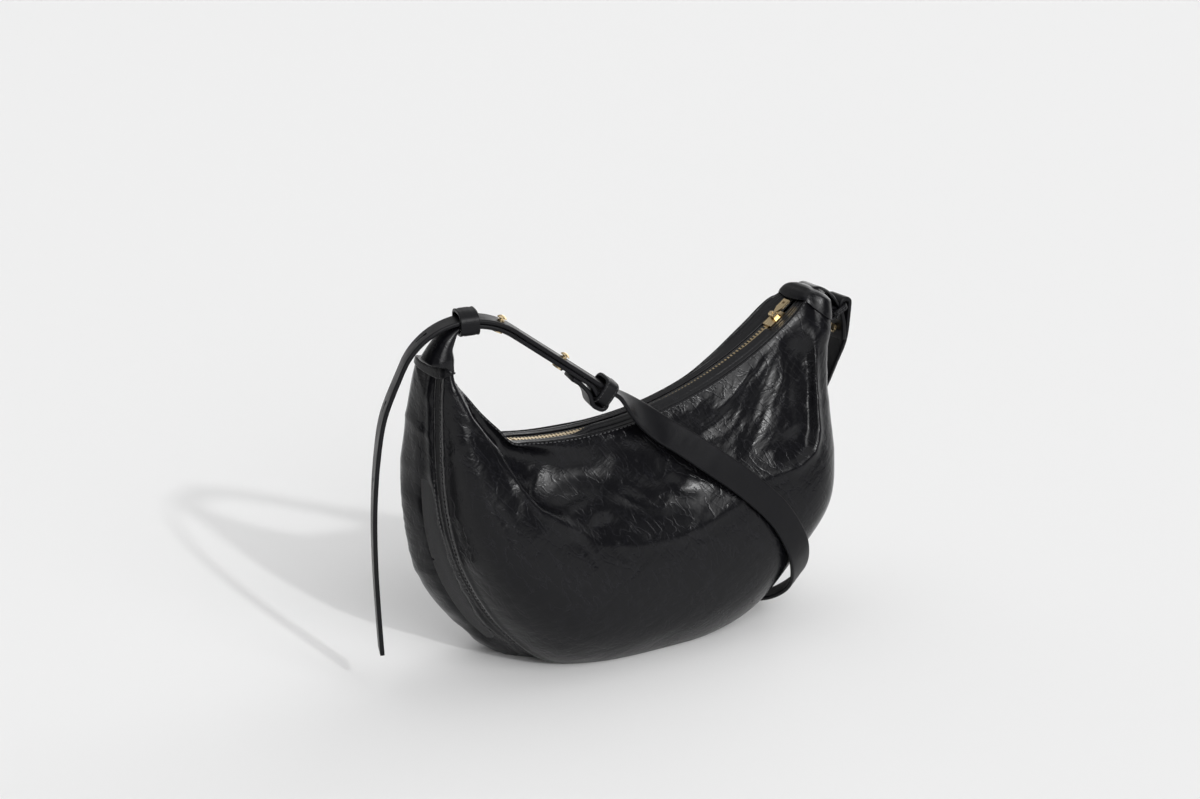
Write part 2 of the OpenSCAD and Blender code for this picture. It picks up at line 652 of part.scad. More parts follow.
// The doubled stretch: distance s along it, height h over the long strap's middle
line_start = flat_arch(arch_r, arch_end);
line_dir = [cos(arch_end), 0, -sin(arch_end)];
line_up = [sin(arch_end), 0, cos(arch_end)];
function flat_line(s, h) = line_start + s * line_dir + h * line_up;
function on_line(s, h) = in_arch(flat_line(s, h));

// The middle ring's lower leg carries the short strap's looped end
loop_r = norm([ring_t, ring_t]) / 2 + leg_gap + strap_t / 2;
bend_s = double_l + (link_w - ring_t) / 2;
link_slack = 3.6;
low_leg = -(layer + loop_r + link_slack);
flap_l = 24;

// The long strap's end loops round the end ring's lower leg and hangs from it
hang_turn = -2;
end_loop_r = end_bar_r + leg_gap + strap_t / 2;
hang = [-sin(hang_turn), 0, -cos(hang_turn)];
aside = [-cos(hang_turn), 0, sin(hang_turn)];
end_flap_l = 24;
function at_hang(s, h) = strap_leg + s * hang + h * aside;
end_loop = concat(
  [at_hang(end_flap_l, layer / 2), at_hang(3.2 * end_loop_r, layer / 2),
    at_hang(1.6 * end_loop_r, 0.72 * end_loop_r)],
  [for (a = [0:30:180]) at_hang(-end_loop_r * sin(a), end_loop_r * cos(a))],
  [at_hang(1.6 * end_loop_r, -0.72 * end_loop_r), at_hang(3.2 * end_loop_r, -layer / 2),
    at_hang(end_flap_l, -layer / 2)]);

// The long strap from the end ring down behind the bag, round its lower right corner and up
// across the front. Shares of seam_half_w, of the depth of that side and of horn_h, then the
// direction of the strap's width.
crossing_shares = [
  [1.092, 0.217, 0.823, 0.05, -1, 0], [1.088, 0.367, 0.74, 0.2, -0.98, 0], [1.07, 0.517, 0.65, 0.35, -0.93, -0.05],
  [1.035, 0.63, 0.55, 0.5, -0.85, -0.1], [1.0, 0.7, 0.42, 0.6, -0.8, -0.15], [0.94, 0.708, 0.26, 0.62, -0.75, -0.2],
  [0.863, 0.633, 0.127, 0.7, -0.65, -0.1], [0.763, 0.45, 0.054, 0.8, -0.55, 0], [0.692, 0.183, 0.042, 0.95, -0.25, 0.15],
  [0.669, -0.064, 0.059, 0.93, -0.1, 0.3], [0.672, -0.362, 0.093, 0.9, 0.1, 0.45], [0.682, -0.617, 0.137, 0.85, 0.2, 0.55],
  [0.676, -0.809, 0.186, 0.8, 0.15, 0.6], [0.649, -0.957, 0.245, 0.77, 0.05, 0.65], [0.609, -1.053, 0.309, 0.76, 0, 0.65], [0.548, -1.074, 0.385, 0.73, 0, 0.68],
  [0.488, -1.064, 0.443, 0.71, 0, 0.7], [0.411, -1.021, 0.5, 0.7, 0, 0.71], [0.321, -0.957, 0.56, 0.69, 0, 0.72],
  [0.231, -0.883, 0.613, 0.67, 0, 0.74], [0.147, -0.798, 0.661, 0.65, 0.05, 0.76], [0.067, -0.713, 0.706, 0.62, 0.15, 0.77],
  [-0.02, -0.638, 0.75, 0.58, 0.3, 0.75], [-0.104, -0.606, 0.8, 0.5, 0.5, 0.7], [-0.181, -0.596, 0.85, 0.4, 0.8, 0.4]];
// The free end over the left horn and down to just above the floor
tail_shares = [[-1.197, 0.235, 0.885, 0.36, 0.93, -0.1], [-1.23, 0.25, 0.75, 0.38, 0.92, -0.06],
  [-1.247, 0.255, 0.6, 0.4, 0.92, 0], [-1.25, 0.255, 0.45, 0.4, 0.92, 0],
  [-1.244, 0.25, 0.3, 0.4, 0.92, 0], [-1.232, 0.245, 0.135, 0.4, 0.92, 0]];
function place(s) = [s[0] * seam_half_w, s[1] * (s[1] < 0 ? front_depth : back_depth), s[2] * horn_h];
function width_of(s) = [s[3], s[4], s[5]];
cross_w = [0, -1, 0];
along_w = [-sin(arch_yaw), cos(arch_yaw), 0];
arch_step = 6;
free_turn = -68;
line_end = double_l + 1.5 * link_w;
// The strap leans more and more towards its free end
arch_lean = -8;
function lean_at(a) = arch_lean * clamp(a / free_turn, 0, 1);
function leaning_w(a) = let (k = lean_at(a))
  cos(k) * along_w + sin(k) * [sin(a) * cos(arch_yaw), sin(a) * sin(arch_yaw), cos(a)];

// Points that a smooth route runs through, refined by so many steps each
function refine(p, k) = concat([for (i = [0:len(p) - 2], j = [0:k - 1]) through(p, i + j / k)], [p[len(p) - 1]]);
crossing = refine(concat([at_hang(end_flap_l, -layer / 2)], [for (s = crossing_shares) place(s)],
  [on_line(line_end, 0)]), 3);
crossing_w = refine(concat([cross_w], [for (s = crossing_shares) width_of(s)], [along_w]), 3);
tail = refine(concat([on_arch(arch_r, free_turn)], [for (s = tail_shares) place(s)]), 3);
tail_w = refine(concat([leaning_w(free_turn)], [for (s = tail_shares) width_of(s)]), 3);
arch_turns = [for (a = [arch_end:-arch_step:free_turn + arch_step / 2]) a];
arch = [for (a = arch_turns) on_arch(arch_r, a)];
long_route = concat([for (i = [0:len(end_loop) - 2]) end_loop[i]], crossing, arch, tail);
long_w = concat([for (i = [0:len(end_loop) - 2]) cross_w], crossing_w, [for (a = arch_turns) leaning_w(a)],
  tail_w);

// Studs on the doubled stretch, and one on the long strap's looped end. The holes of the free end
// follow the studs at the same pitch.
hole_pitch = 48;
far_stud_s = 0.53 * double_l;
stud_places = [far_stud_s - hole_pitch, far_stud_s];
end_stud_s = 17;
hole_d = stud_neck_d + 2 * metal_gap;
// Places its children at distance s along the doubled stretch or, where s is negative, on the arch,
// at height h over the long strap's middle
module at_line(s, h) {
  turn = s < 0 ? arch_end + s / arch_r * 180 / PI : arch_end;
  at_arch()
    translate(s < 0 ? flat_arch(arch_r, turn) : flat_line(s, 0))
      rotate([0, turn, 0])
        translate([0, 0, h])
          children();
}
module at_end_stud() {
  p = at_hang(end_stud_s, 0);
  translate(p)
    rotate([0, -90 + hang_turn, 0])
      children();
}

// Slit holes in the free end: the first on the arch, the others down the tail
slit_w = 0.8;
slit_l = 7;
function run_to(p, i) = i == 0 ? 0 : run_to(p, i - 1) + norm(p[i] - p[i - 1]);
tail_from = (arch_end - free_turn) * PI / 180 * arch_r;
function tail_index(s) = [for (i = [1:len(tail) - 2]) if (tail_from + run_to(tail, i) >= s) i][0];
module slit() {
  cylinder(d = hole_d, h = 3 * strap_t, center = true);
  translate([-slit_l, -slit_w / 2, -1.5 * strap_t])
    cube([slit_l, slit_w, 3 * strap_t]);
}
module slit_holes() {
  at_line(far_stud_s - 2 * hole_pitch, 0)
    slit();
  for (k = [3, 4]) {
    i = tail_index(k * hole_pitch - far_stud_s);
    t = route_t(tail, i);
    a = square_to(tail_w[i], t);
    n = cross(t, a);
    multmatrix([[-t[0], -a[0], n[0], tail[i][0]], [-t[1], -a[1], n[1], tail[i][1]],
      [-t[2], -a[2], n[2], tail[i][2]]])
      slit();
  }
}

module long_strap() {
  color(leather_black)
    difference() {
      strap(long_route, long_w);
      for (s = stud_places)
        at_line(s, 0)
          cylinder(d = hole_d, h = strap_t + over, center = true);
      at_end_stud()
        cylinder(d = hole_d, h = 2 * layer + over, center = true);
      slit_holes();
    }
}

module short_strap() {
  bend = [for (a = [90:-30:-90]) on_line(bend_s + loop_r * cos(a), low_leg + loop_r * sin(a))];
  route = concat(
    [on_arch(arch_low_r, neck_turn + 1)], [for (k = [7:-1:0]) on_arch(arch_low_r, arch_end - k * arch_step)],
    [on_line(double_l - 2.8 * link_w, -layer), on_line(double_l - 1.5 * link_w, -layer - 0.2 * link_slack),
      on_line(double_l - 0.5 * link_w, low_leg + loop_r)],
    bend,
    [on_line(double_l - 0.5 * link_w, low_leg - loop_r), on_line(double_l - 1.5 * link_w, -2.7 * layer),
      on_line(double_l - 2.8 * link_w, -2 * layer), on_line(double_l - flap_l, -2 * layer)]);
  color(leather_black)
    difference() {
      strap(route, [for (p = route) along_w]);
      for (s = stud_places)
        at_line(s, -1.5 * layer)
          cylinder(d = hole_d, h = 3 * layer, center = true);
    }
}

// Leather rings. The keeper slides along the arch over both layers of strap.
ring_side_gap = 0.6;
keeper_angle = -3;
keeper_half = keeper_w / 2 * 180 / (PI * arch_r);
module rounded(w, h, r) {
  square([w - 2 * r, h], center = true);
  square([w, h - 2 * r], center = true);
  for (x = [-1, 1], y = [-1, 1])
    translate([x * (w / 2 - r), y * (h / 2 - r)])
      circle(r = r);
}
module ring_outline(w, h, r) {
  difference() {
    rounded(w + 2 * ring_t, h + 2 * ring_t, r + ring_t);
    rounded(w, h, r);
  }
}

module keeper_ring() {
  color(leather_black)
    at_arch()
      translate([arch_centre[0], 0, arch_centre[1]])
        rotate([90, 0, 0])
          rotate([0, 0, 90 - keeper_angle - keeper_half])
            rotate_extrude(angle = 2 * keeper_half, $fn = 180)
              translate([arch_r - layer / 2, 0])
                ring_outline(keeper_gap, strap_w + 2 * ring_side_gap, ring_t);
}

// Ring whose legs lie along Y, one at the origin and one at [reach, 0, 0]
module link_ring(reach, w) {
  translate([reach / 2, 0, 0])
    linear_extrude(w, center = true)
      ring_outline(reach - ring_t, strap_w + 2 * ring_side_gap, ring_side_gap);
}

module middle_ring() {
  p = flat_line(double_l, low_leg);
  color(leather_black)
    at_arch()
      translate(p)
        rotate([0, arch_end - 90, 0])
          link_ring(mid_link_reach, link_w);
}

module end_ring() {
  color(leather_black)
    translate(end_leg)
      rotate([0, -end_turn, 0])
        link_ring(end_link_reach, end_link_w);
}

// A stud: collar, neck and head over the strap, and a post through so many layers under it
collar_h = 0.8;
neck_h = 0.8;
post_bore_d = 1.8;
post_bore_l = 3.4;
module stud(depth) {
  difference() {
    union() {
      translate([0, 0, -depth])
        cylinder(d = stud_neck_d, h = depth + collar_h + neck_h + over / 2);
      cylinder(d = 0.72 * stud_d, h = collar_h);
      translate([0, 0, collar_h + neck_h])
        intersection() {
          cylinder(d = stud_d, h = stud_h - collar_h - neck_h);
          translate([0, 0, stud_h - collar_h - neck_h - 0.62 * stud_d])
            sphere(r = 0.62 * stud_d);
        }
    }
    translate([0, 0, -depth - over])
      cylinder(d = post_bore_d, h = post_bore_l + over);
  }
}
module stud_screw(depth) {
  translate([0, 0, -depth - screw_h])
    cylinder(d = screw_d, h = screw_h);
  translate([0, 0, -depth - screw_h / 2])
    cylinder(d = post_bore_d - 2 * metal_gap, h = post_bore_l);
}
seat_gap = 0.4;
stud_depth = 2 * strap_t + soft_gap + seat_gap;

module stud_heads() {
  color(brass) {
    for (i = [0, 1])
      at_line(stud_places[i], strap_t / 2)
        stud(stud_depth);
    at_end_stud()
      translate([0, 0, strap_t + soft_gap / 2])
        stud(stud_depth);
  }
}

module stud_screws() {
  color(brass) {
    for (i = [0, 1])
      at_line(stud_places[i], strap_t / 2)
        stud_screw(stud_depth);
    at_end_stud()
      translate([0, 0, strap_t + soft_gap / 2])
        stud_screw(stud_depth);
  }
}

front_panel();
back_panel();
seam_tape();
zip_strip_front();
zip_strip_back();
left_cap();
right_cap();
zip_tape_front();
zip_tape_back();
zip_teeth_front();
zip_teeth_back();
zip_end_stops();
zip_slider();
zip_pull();
lining_front();
lining_back();
inner_pocket();
short_strap();
long_strap();
keeper_ring();
middle_ring();
end_ring();
stud_heads();
stud_screws();
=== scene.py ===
"""Looks, light and camera of a half moon shoulder bag in black crinkled leather, on its CAD frame."""

import math

import bmesh
import bpy
import numpy as np
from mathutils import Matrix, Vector, noise


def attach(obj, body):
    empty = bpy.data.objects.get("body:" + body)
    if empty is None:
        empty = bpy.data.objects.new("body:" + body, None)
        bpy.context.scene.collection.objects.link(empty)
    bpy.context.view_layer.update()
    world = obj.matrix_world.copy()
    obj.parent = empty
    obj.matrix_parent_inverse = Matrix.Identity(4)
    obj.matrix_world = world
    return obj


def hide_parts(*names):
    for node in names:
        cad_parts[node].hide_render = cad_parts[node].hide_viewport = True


bl_info = {
    "name": "Half moon bag",
    "version": (1, 0, 0),
    "blender": (4, 5, 0),
    "location": "View3D > Sidebar > Half moon bag",
    "description": "Dresses the half moon bag's frame in crinkled leather, cloth and brass",
    "category": "Object",
}

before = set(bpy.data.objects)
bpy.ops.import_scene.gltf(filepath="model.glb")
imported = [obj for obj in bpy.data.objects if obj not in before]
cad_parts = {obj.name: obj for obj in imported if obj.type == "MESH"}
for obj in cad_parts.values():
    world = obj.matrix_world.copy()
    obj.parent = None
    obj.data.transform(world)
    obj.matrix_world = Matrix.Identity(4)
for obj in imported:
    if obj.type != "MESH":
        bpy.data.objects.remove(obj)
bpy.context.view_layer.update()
MM = 0.001

# The bag's sizes, in millimetres
SEAM_HALF_W = 149.5
HORN_H = 204
FRONT_DEPTH = 47
BACK_DEPTH = 60
MOUTH_FRONT_Y = 15
MOUTH_BACK_Y = 18
LEATHER_T = 1.6
LINING_T = 0.8
SEAM_TAPE_T = 0.5
ZIP_ARC_R = 280.4
ZIP_LOW_X = 53.5
ZIP_LOW_H = 150.7
ZIP_LEFT_ANGLE = 9
ZIP_RIGHT_ANGLE = 34.4
ZIP_RECESS = 3
TOOTH_REACH = 4.2
TAPE_T = 0.8
TAPE_W = 7
SLIDER_L = 11
SLIDER_W = 9.2
STRAP_W = 18
STRAP_T = 2.8
ARCH_R = 47.2
ARCH_RISE = 34
DOUBLE_L = 72
RING_T = 2
KEEPER_W = 12
KEEPER_GAP = 12
LINK_W = 6
MID_LINK_REACH = 15
END_LINK_W = 4
END_LINK_REACH = 11.2
SOFT_GAP = 0.3
METAL_GAP = 0.1
RUN_GAP = 0.3

# Outer seam from the left horn's end down to the middle: shares of the half width and horn height
SEAM_SHARES = [(-0.983, 1.034), (-0.996, 0.951), (-1, 0.843), (-0.998, 0.716), (-0.98, 0.569), (-0.936, 0.431),
               (-0.856, 0.294), (-0.722, 0.152), (-0.522, 0.02), (-0.281, -0.034), (0, -0.044)]
LAST = 2 * (len(SEAM_SHARES) - 1)
HALF = LAST // 2
RIM_X_SHARES = [-0.951, -0.94, -0.893, -0.835, -0.763, -0.696, -0.602, -0.482, -0.334, -0.181, 0,
                0.167, 0.321, 0.455, 0.562, 0.649, 0.716, 0.763, 0.796, 0.823, 0.846]
FRONT_SHARES = [0.2, 0.27, 0.39, 0.52, 0.65, 0.78, 0.88, 0.95, 0.99, 1, 1,
                1, 0.99, 0.96, 0.9, 0.8, 0.69, 0.58, 0.47, 0.38, 0.32]
BACK_SHARES = [0.5, 0.56, 0.64, 0.74, 0.82, 0.88, 0.93, 0.96, 0.99, 1, 1,
               1, 0.98, 0.93, 0.86, 0.77, 0.67, 0.56, 0.45, 0.36, 0.3]
BULGE_SHARES = [0.03, 0.07, 0.1, 0.12, 0.17, 0.22, 0.25, 0.25, 0.2, 0.15, 0.12,
                0.12, 0.12, 0.12, 0.12, 0.1, 0.07, 0.04, 0.02, 0, 0]
DROP_SHARES = [0, 0, 0, 0, 0.01, 0.02, 0.03, 0.03, 0.03, 0.045, 0.06,
               0.07, 0.07, 0.03, -0.01, -0.03, -0.04, -0.03, 0, 0, 0]
MOUTH_SHARES = [0.38, 0.48, 0.64, 0.78, 0.9, 1, 1, 1, 1, 1, 1,
                1, 1, 1, 1, 1, 1, 0.96, 0.88, 0.78, 0.7]
FRONT_RIB_SHARES = [(0, 0), (0.08, 0.54), (0.2, 0.74), (0.36, 0.9), (0.52, 0.99), (0.68, 1),
                    (0.81, 0.88), (0.91, 0.62), (0.975, 0.3), (1, 0)]
BACK_RIB_SHARES = [(0, 0), (0.08, 0.5), (0.2, 0.7), (0.36, 0.87), (0.54, 0.97), (0.72, 1),
                   (0.87, 0.95), (0.96, 0.78), (1, 0.45), (1, 0)]
FLANK_RIB_SHARES = [(0, 0), (0.07, 0.7), (0.2, 0.78), (0.34, 0.94), (0.49, 1), (0.63, 0.93),
                    (0.77, 0.7), (0.88, 0.42), (0.96, 0.17), (1, 0)]
BULGE_RIB_SHARES = [0, 0, 0.02, 0.08, 0.2, 0.42, 0.72, 1, 0.75, 0]
HORN_RIB_SHARES = [(0, 0), (0.07, 0.82), (0.17, 0.93), (0.3, 0.99), (0.45, 1), (0.6, 0.98),
                   (0.75, 0.9), (0.88, 0.72), (0.97, 0.42), (1, 0)]
ROWS = len(FRONT_RIB_SHARES) - 1
SLUMP_SHARES = [0, 0, 0, 0.02, 0.06, 0.13, 0.18, 0.21, 0.21, 0.19, 0.18,
                0.16, 0.13, 0.11, 0.1, 0.07, 0.04, 0.02, 0, 0, 0]
CREST_SHARES = [0.5, 0.45, 0.4, 0.32, 0.28, 0.29, 0.32, 0.35, 0.37, 0.38, 0.39,
                0.38, 0.37, 0.41, 0.45, 0.42, 0.34, 0.27, 0.23, 0.2, 0.2]
HORN_BLEND = 4
FLANK_FROM = 14.2


# Curves through tables
def mix(a, b, k):
    return a + (b - a) * k


def clamp(a, low, high):
    return max(low, min(high, a))


def smooth(k):
    k = clamp(k, 0, 1)
    return k * k * (3 - 2 * k)


def unit(v):
    v = np.asarray(v, float)
    return v / max(float(np.linalg.norm(v)), 1e-9)


def curve(a, b, c, d, k):
    """The smooth curve from b to c at share k, with a before and d after them."""
    return 0.5 * (2 * b + (c - a) * k + (2 * a - 5 * b + 4 * c - d) * k * k + (3 * b - a - 3 * c + d) * k * k * k)


def slope(a, b, c, d, k):
    return 0.5 * ((c - a) + 2 * (2 * a - 5 * b + 4 * c - d) * k + 3 * (3 * b - a - 3 * c + d) * k * k)


def row(table, i):
    """A table's entry, or the one at its end for a number past it."""
    return table[clamp(i, 0, len(table) - 1)]


def through(table, u):
    """A smooth curve through a table at station u."""
    i = clamp(int(math.floor(u)), 0, len(table) - 2)
    return curve(row(table, i - 1), row(table, i), row(table, i + 1), row(table, i + 2), u - i)


def refine(points, steps):
    """A smooth run of points through the given ones, so many steps between two of them."""
    p = [np.asarray(q, float) for q in points]
    return [through(p, i + j / steps) for i in range(len(p) - 1) for j in range(steps)] + [p[-1]]


# The body's shell
ARC_CENTRE = np.array([-ZIP_LOW_X, ZIP_LOW_H + ZIP_ARC_R])
RIM_R = ZIP_ARC_R - ZIP_RECESS
RAMP_X = RIM_X_SHARES[5] * SEAM_HALF_W


def arc_z(x):
    return ARC_CENTRE[1] - math.sqrt(RIM_R ** 2 - (x - ARC_CENTRE[0]) ** 2)


SEAM_TABLE = []
for i in range(LAST + 1):
    s = SEAM_SHARES[i if i <= HALF else LAST - i]
    SEAM_TABLE.append(np.array([(1 if i <= HALF else -1) * s[0] * SEAM_HALF_W, s[1] * HORN_H]))
RAMP_SHARES = [1.1, 0.93, 0.72, 0.47, 0.22, 0]
RIM_TABLE = []
for i in range(LAST + 1):
    x = RIM_X_SHARES[i] * SEAM_HALF_W
    RIM_TABLE.append(np.array([x, mix(arc_z(RAMP_X), HORN_H, RAMP_SHARES[i]) if i < 5 else arc_z(x)]))


def seam_at(u):
    return through(SEAM_TABLE, u)


def rim_at(u):
    return through(RIM_TABLE, u)


def edge_at(side, u):
    """The panel's top edge, which drops behind the zip."""
    return rim_at(u) - np.array([0, 0 if side < 0 else BACK_DEPTH * through(DROP_SHARES, u)])


def seam_out(u):
    t = unit(seam_at(u + 0.1) - seam_at(u - 0.1))
    return np.array([t[1], -t[0]])


def depth_at(side, u):
    return FRONT_DEPTH * through(FRONT_SHARES, u) if side < 0 else BACK_DEPTH * through(BACK_SHARES, u)


def mouth_at(side, u):
    return (MOUTH_FRONT_Y if side < 0 else MOUTH_BACK_Y) * through(MOUTH_SHARES, u)


def rib_table(side, u):
    k = smooth(min(u, LAST - u) / HORN_BLEND)
    f = smooth((u - FLANK_FROM) / HORN_BLEND) if side < 0 else 0
    body = FRONT_RIB_SHARES if side < 0 else BACK_RIB_SHARES
    length = float(np.linalg.norm(seam_at(u) - edge_at(side, u)))
    b = depth_at(side, u)
    top = mouth_at(side, u)
    table = []
    for j in range(ROWS + 1):
        s = mix(mix(np.array(HORN_RIB_SHARES[j], float), np.array(body[j], float), k),
                np.array(FLANK_RIB_SHARES[j], float), f)
        table.append(np.array([s[0] * length, top if j == 0 else s[1] * b]))
    return table


_ribs = {}


def rib_of(side, u):
    """What one station of a panel needs for all the points down its rib."""
    key = (side, round(u, 6))
    if key not in _ribs:
        t = rib_table(side, u)
        rim = edge_at(side, u)
        bulge = 0 if side < 0 else BACK_DEPTH * through(BULGE_SHARES, u)
        deep = FRONT_DEPTH * through(SLUMP_SHARES, u) if side < 0 else 0
        _ribs[key] = (t, rim, unit(seam_at(u) - rim), bulge, seam_out(u), deep, through(CREST_SHARES, u))
    return _ribs[key]


def bulge_row(j):
    return BULGE_RIB_SHARES[ROWS - 1] if j > ROWS else row(BULGE_RIB_SHARES, j)


def rib_row(t, j):
    if j < 0:
        return 2 * t[0] - t[1]
    return np.array([t[ROWS - 1][0], -t[ROWS - 1][1]]) if j > ROWS else t[j]


def shell_point(side, u, v, d):
    """Point of a panel at station u and share v down its rib, moved inwards by d."""
    t, rim, down, bulge, out, deep, crest = rib_of(side, u)
    j = clamp(int(math.floor(v * ROWS)), 0, ROWS - 1)
    k = v * ROWS - j
    a, b, c, e = rib_row(t, j - 1), t[j], t[j + 1], rib_row(t, j + 2)
    p = curve(a, b, c, e, k)
    r = [bulge * bulge_row(j + n) for n in (-1, 0, 1, 2)]
    w = min(v / crest, 1)
    fall = deep * math.sin(math.pi * w) ** 2
    steep = deep * math.pi / (crest * ROWS) * math.sin(2 * math.pi * w)
    g = unit(slope(a, b, c, e, k) + np.array([slope(*r, k) * float(out @ down), -steep]))
    q = (p[0] + g[1] * d, p[1] - fall - g[0] * d)
    place = rim + down * q[0] + out * curve(*r, k)
    return np.array([place[0], side * (q[1] + SOFT_GAP / 2), max(place[1], max(d, 0))])


# How the leather has slumped
# The crest round the slumped upper part of the front, as places along the bag and heights, with
# how steeply the leather drops inside it, the breadth of that drop and the height of the crest's bead
CREST = [(-147, 204, 0, 6, 0.4), (-137, 179, 2.6, 8, 1.2), (-119, 155, 5.4, 10, 1.6), (-110, 133, 7.0, 11, 1.8),
         (-99, 119, 6.4, 11, 1.6), (-80, 104, 3.8, 12, 1.1), (-59, 92, 2.0, 13, 0.7), (-29, 85, 1.4, 16, 0.4),
         (1, 84, 1.6, 15, 0.5), (29, 91, 1.8, 13, 0.6), (48, 97, 1.6, 12, 0.4), (65, 109, 1.4, 10, 0.4),
         (81, 112, 2.0, 8, 0.8), (97, 115, 3.2, 7, 1.3), (110, 122, 4.6, 6, 1.8), (117, 135, 5, 6, 2.0),
         (119, 155, 4.4, 6, 1.9), (121, 179, 3, 6, 1.4), (123, 200, 0.4, 6, 0.4)]
# Single hollows and swellings of the front: place, height, two radii, turn in degrees, rise
FRONT_FORMS = [(-88, 127, 13, 9, -35, -5.0), (-58, 113, 28, 12, 4, 5.5), (-56, 99, 24, 8, -6, -2.4),
               (-14, 111, 26, 9, -10, -4.2), (18, 119, 16, 8, 25, -3.2), (-30, 132, 16, 8, -20, 2.2),
               (52, 158, 26, 9, 35, 1.0), (74, 150, 20, 7, 60, -0.9), (34, 150, 18, 7, 30, -0.9),
               (92, 168, 22, 9, 80, 0.8), (96, 140, 16, 10, 50, -1.0), (62, 128, 20, 8, 10, -1.0),
               (-128, 112, 16, 7, 60, -0.8), (-132, 94, 18, 6, 70, 0.8), (-20, 60, 60, 18, 5, 0.6),
               (132, 160, 26, 34, 0, -5.5), (124, 82, 30, 30, 0, 5.0)]
# Share of the rib over which the slump sets in, radius of the crest's bead, share of the rib over
# which all relief fades at its ends, and the crinkles' middle height
SLUMP_SETS_IN = 0.16
BEAD_R = 3.4
EDGE_FADE = 0.05
CRINKLE_LEVEL = 0.3
# Creases: points along each, breadth, depth
FRONT_CREASES = [([(-76, 98), (-66, 84), (-60, 74)], 2.2, 0.5), ([(-52, 96), (-44, 82), (-40, 76)], 2, 0.45),
                 ([(-30, 92), (-20, 82)], 1.8, 0.4), ([(6, 90), (14, 82), (24, 80)], 1.8, 0.5),
                 ([(-100, 128), (-88, 134), (-80, 142)], 3, 0.8), ([(-86, 116), (-70, 120), (-50, 119)], 3, 0.9),
                 ([(-40, 118), (-26, 112), (-8, 104), (8, 106)], 3.4, 1.1), ([(0, 122), (14, 112), (30, 110)], 3, 0.9),
                 ([(26, 140), (44, 148), (60, 160)], 1.6, 0.6), ([(40, 132), (58, 144), (72, 160)], 1.5, 0.6),
                 ([(56, 126), (70, 138), (86, 160)], 1.6, 0.6), ([(66, 120), (82, 132), (94, 150)], 1.5, 0.5),
                 ([(62, 166), (78, 176), (92, 190)], 1.5, 0.45), ([(20, 128), (36, 126), (50, 132)], 1.6, 0.5),
                 ([(84, 150), (96, 166), (102, 184)], 1.5, 0.5), ([(-132, 130), (-122, 112), (-120, 96)], 2.4, 0.4),
                 ([(-126, 96), (-112, 86), (-100, 84)], 2.2, 0.4), ([(36, 74), (60, 60), (76, 40)], 2, 0.3)]
BACK_CREASES = [([(-153, 142), (-149, 110), (-140, 76), (-118, 30), (-90, 8)], 5.5, 3.2),
                ([(-156, 120), (-150, 84), (-136, 52)], 3, 1.0), ([(-140, 150), (-100, 120), (-60, 112)], 5, 1.8),
                ([(60, 120), (100, 132), (128, 160)], 5, 1.6), ([(-20, 96), (30, 88), (80, 96)], 6, 1.8),
                ([(-90, 70), (-40, 50), (20, 56)], 4, 0.8), ([(40, 60), (80, 70), (116, 96)], 4, 0.8)]


def along_line(line, x, z):
    """Distance from each place to a line of places, the share along it and the side it lies on."""
    best = np.full(x.shape, 1e9)
    where = np.zeros(x.shape)
    side = np.ones(x.shape)
    for i in range(len(line) - 1):
        a = np.array(line[i][:2], float)
        b = np.array(line[i + 1][:2], float)
        d = b - a
        k = np.clip(((x - a[0]) * d[0] + (z - a[1]) * d[1]) / (d @ d), 0, 1)
        ex, ez = x - a[0] - k * d[0], z - a[1] - k * d[1]
        dist = np.hypot(ex, ez)
        near = dist < best
        best = np.where(near, dist, best)
        where = np.where(near, i + k, where)
        side = np.where(near, np.sign(d[0] * ez - d[1] * ex), side)
    return best, where, side


def smooth_all(k):
    k = np.clip(k, 0, 1)
    return k * k * (3 - 2 * k)


def bell(a, b=0.0):
    return np.exp(-(a ** 2 + b ** 2))


def crinkle(x, y, z, size, seed, stretch=1.0, turn=19):
    """Ridged noise: sharp little folds about so many millimetres apart, drawn out at a turn in degrees."""
    cos, sin = math.cos(math.radians(turn)), math.sin(math.radians(turn))
    out = np.zeros(x.shape)
    flat = out.ravel()
    for n, (a, b, c) in enumerate(zip(x.ravel(), y.ravel(), z.ravel())):
        warp = noise.noise(Vector((a / size * 0.45 + seed, b / size * 0.45, c / size * 0.45)))
        p = Vector(((a * cos + c * sin) / size + warp + seed, b / size, (c * cos - a * sin) / size * stretch + warp))
        flat[n] = 1 - min(1, 2.2 * abs(noise.noise(p)))
    return out ** 2


def front_slump(x, z, v):
    """The drop inside the crest, the crest's bead, and the single hollows and swellings."""
    dist, where, side = along_line(CREST, x, z)
    table = np.array(CREST, float)
    deep, broad, bead = [np.interp(where, np.arange(len(CREST)), table[:, k]) for k in (2, 3, 4)]
    inside = dist * side
    below_top = smooth_all(v / SLUMP_SETS_IN)
    fall = deep * (smooth_all(inside / broad) - smooth_all((inside - 1.5 * broad) / (2.5 * broad)))
    h = bead * bell(dist / BEAD_R) * smooth_all(v / 0.1) - below_top * fall
    for fx, fz, ra, rb, turn, rise in FRONT_FORMS:
        c, s = math.cos(math.radians(turn)), math.sin(math.radians(turn))
        h = h + rise * bell(((x - fx) * c + (z - fz) * s) / ra, ((z - fz) * c - (x - fx) * s) / rb) * below_top
    return h


def creased(lines, x, z):
    """Creases that swell up on one side."""
    h = np.zeros(x.shape)
    for line, broad, deep in lines:
        dist, where, side = along_line(refine(line, 5), x, z)
        ends = smooth_all(where / 4) * smooth_all(((len(line) - 1) * 5 - where) / 4)
        swell = np.where(side > 0, 0.7, 0.15)
        h -= deep * ends * (bell(dist / broad) - swell * bell((dist - 1.7 * broad) / broad))
    return h


